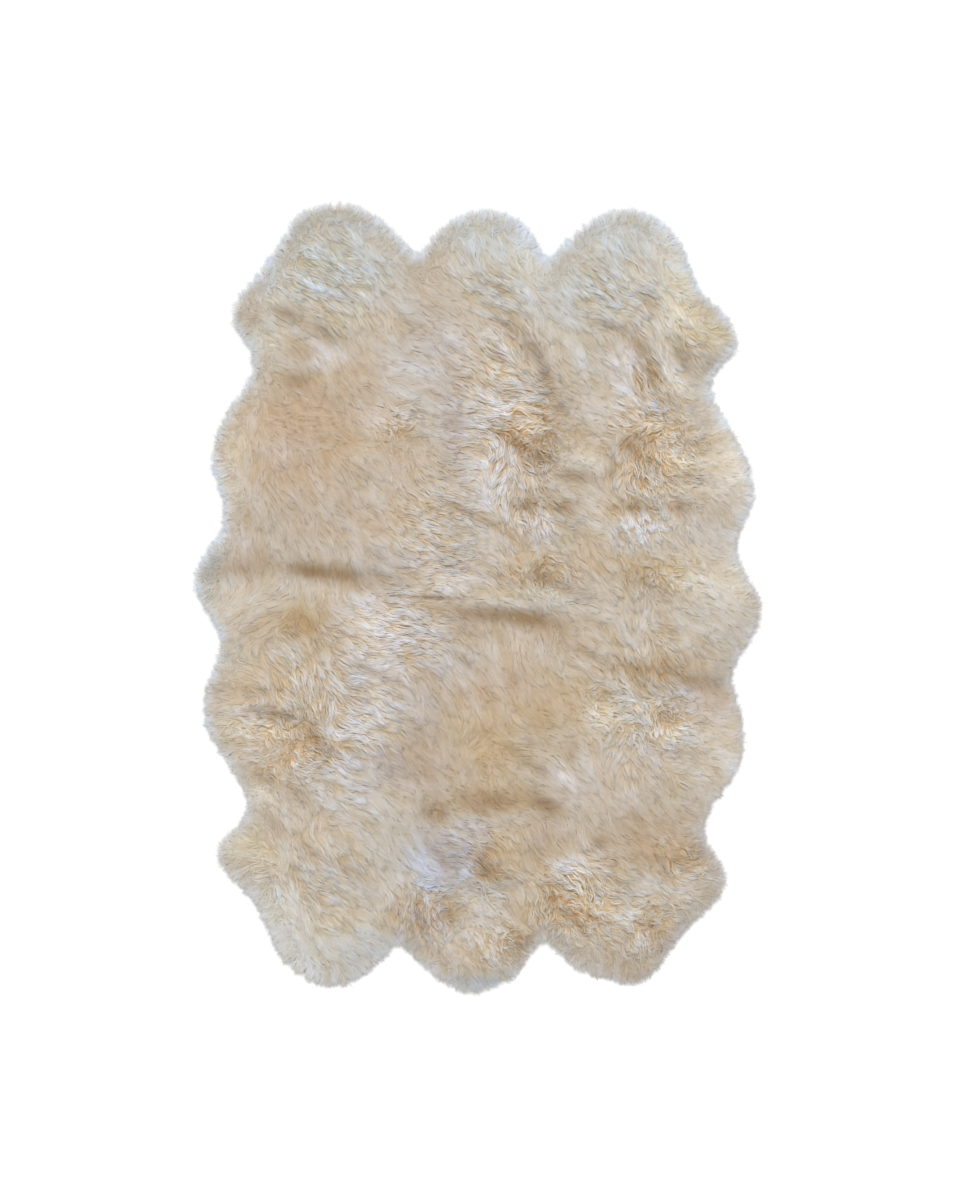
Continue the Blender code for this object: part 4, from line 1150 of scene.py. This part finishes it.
# floor, light and camera
stageSettings = {
    "floorHalf": 60.0, "floorSteps": 24, "floorShade": 0.92, "floorLow": -0.0002,
    "skyStrength": 0.9, "lampStrength": 1.3, "lampSpread": 24, "lampTilt": 42,
    "cameraHeight": 8.0, "pictureHeight": 2.807, "pictureMiddle": (0.0046, -0.0064),
}


def layFloor():  # a level grid, each square's corners going round anticlockwise
    half, steps = stageSettings["floorHalf"], stageSettings["floorSteps"]
    line = np.linspace(-half, half, steps + 1)
    x, y = np.meshgrid(line, line)
    points = np.column_stack([x.ravel(), y.ravel(), np.full(x.size, stageSettings["floorLow"])])
    first = (np.arange(steps)[:, None] * (steps + 1) + np.arange(steps)).ravel()
    corners = np.column_stack([first, first + 1, first + steps + 2, first + steps + 1]).ravel()
    graph = MaterialGraph("paleFloor", Specular_IOR_Level=0.1)
    grain = graph.noise(1.5, 3.0)
    shade = stageSettings["floorShade"]
    warmer = (shade * 0.99, shade * 0.99, shade * 0.985, 1)
    colour = graph.tint("MIX", grain, (shade, shade, shade, 1), warmer)
    floor = meshPiece("paleFloor", points, corners, np.full(steps * steps, 4),
                      graph.finish(Base_Color=colour, Roughness=grain * 0.1 + 0.85))


layFloor()
world = bpy.data.worlds.new("studio")
bpy.context.scene.world = world
world.use_nodes = True
sky = next(node for node in world.node_tree.nodes if node.type == "BACKGROUND")
sky.inputs["Color"].default_value = (1.0, 1.0, 1.0, 1)
sky.inputs["Strength"].default_value = stageSettings["skyStrength"]
lamp = bpy.data.lights.new("softLamp", "SUN")
lamp.energy = stageSettings["lampStrength"]
lamp.angle = math.radians(stageSettings["lampSpread"])
lampObject = bpy.data.objects.new("softLamp", lamp)
lampObject.rotation_euler = (-math.radians(stageSettings["lampTilt"]), 0, 0)    # from the neck end
bpy.context.scene.collection.objects.link(lampObject)

camera = bpy.data.cameras.new("fromAbove")
camera.sensor_fit = "VERTICAL"
camera.angle_y = 2 * math.atan(0.5 * stageSettings["pictureHeight"] / stageSettings["cameraHeight"])
cameraObject = bpy.data.objects.new("fromAbove", camera)
cameraObject.location = (*stageSettings["pictureMiddle"], stageSettings["cameraHeight"])
bpy.context.scene.collection.objects.link(cameraObject)
bpy.context.scene.camera = cameraObject
bpy.context.scene.view_settings.view_transform = "Standard"
print("floor, light and camera")
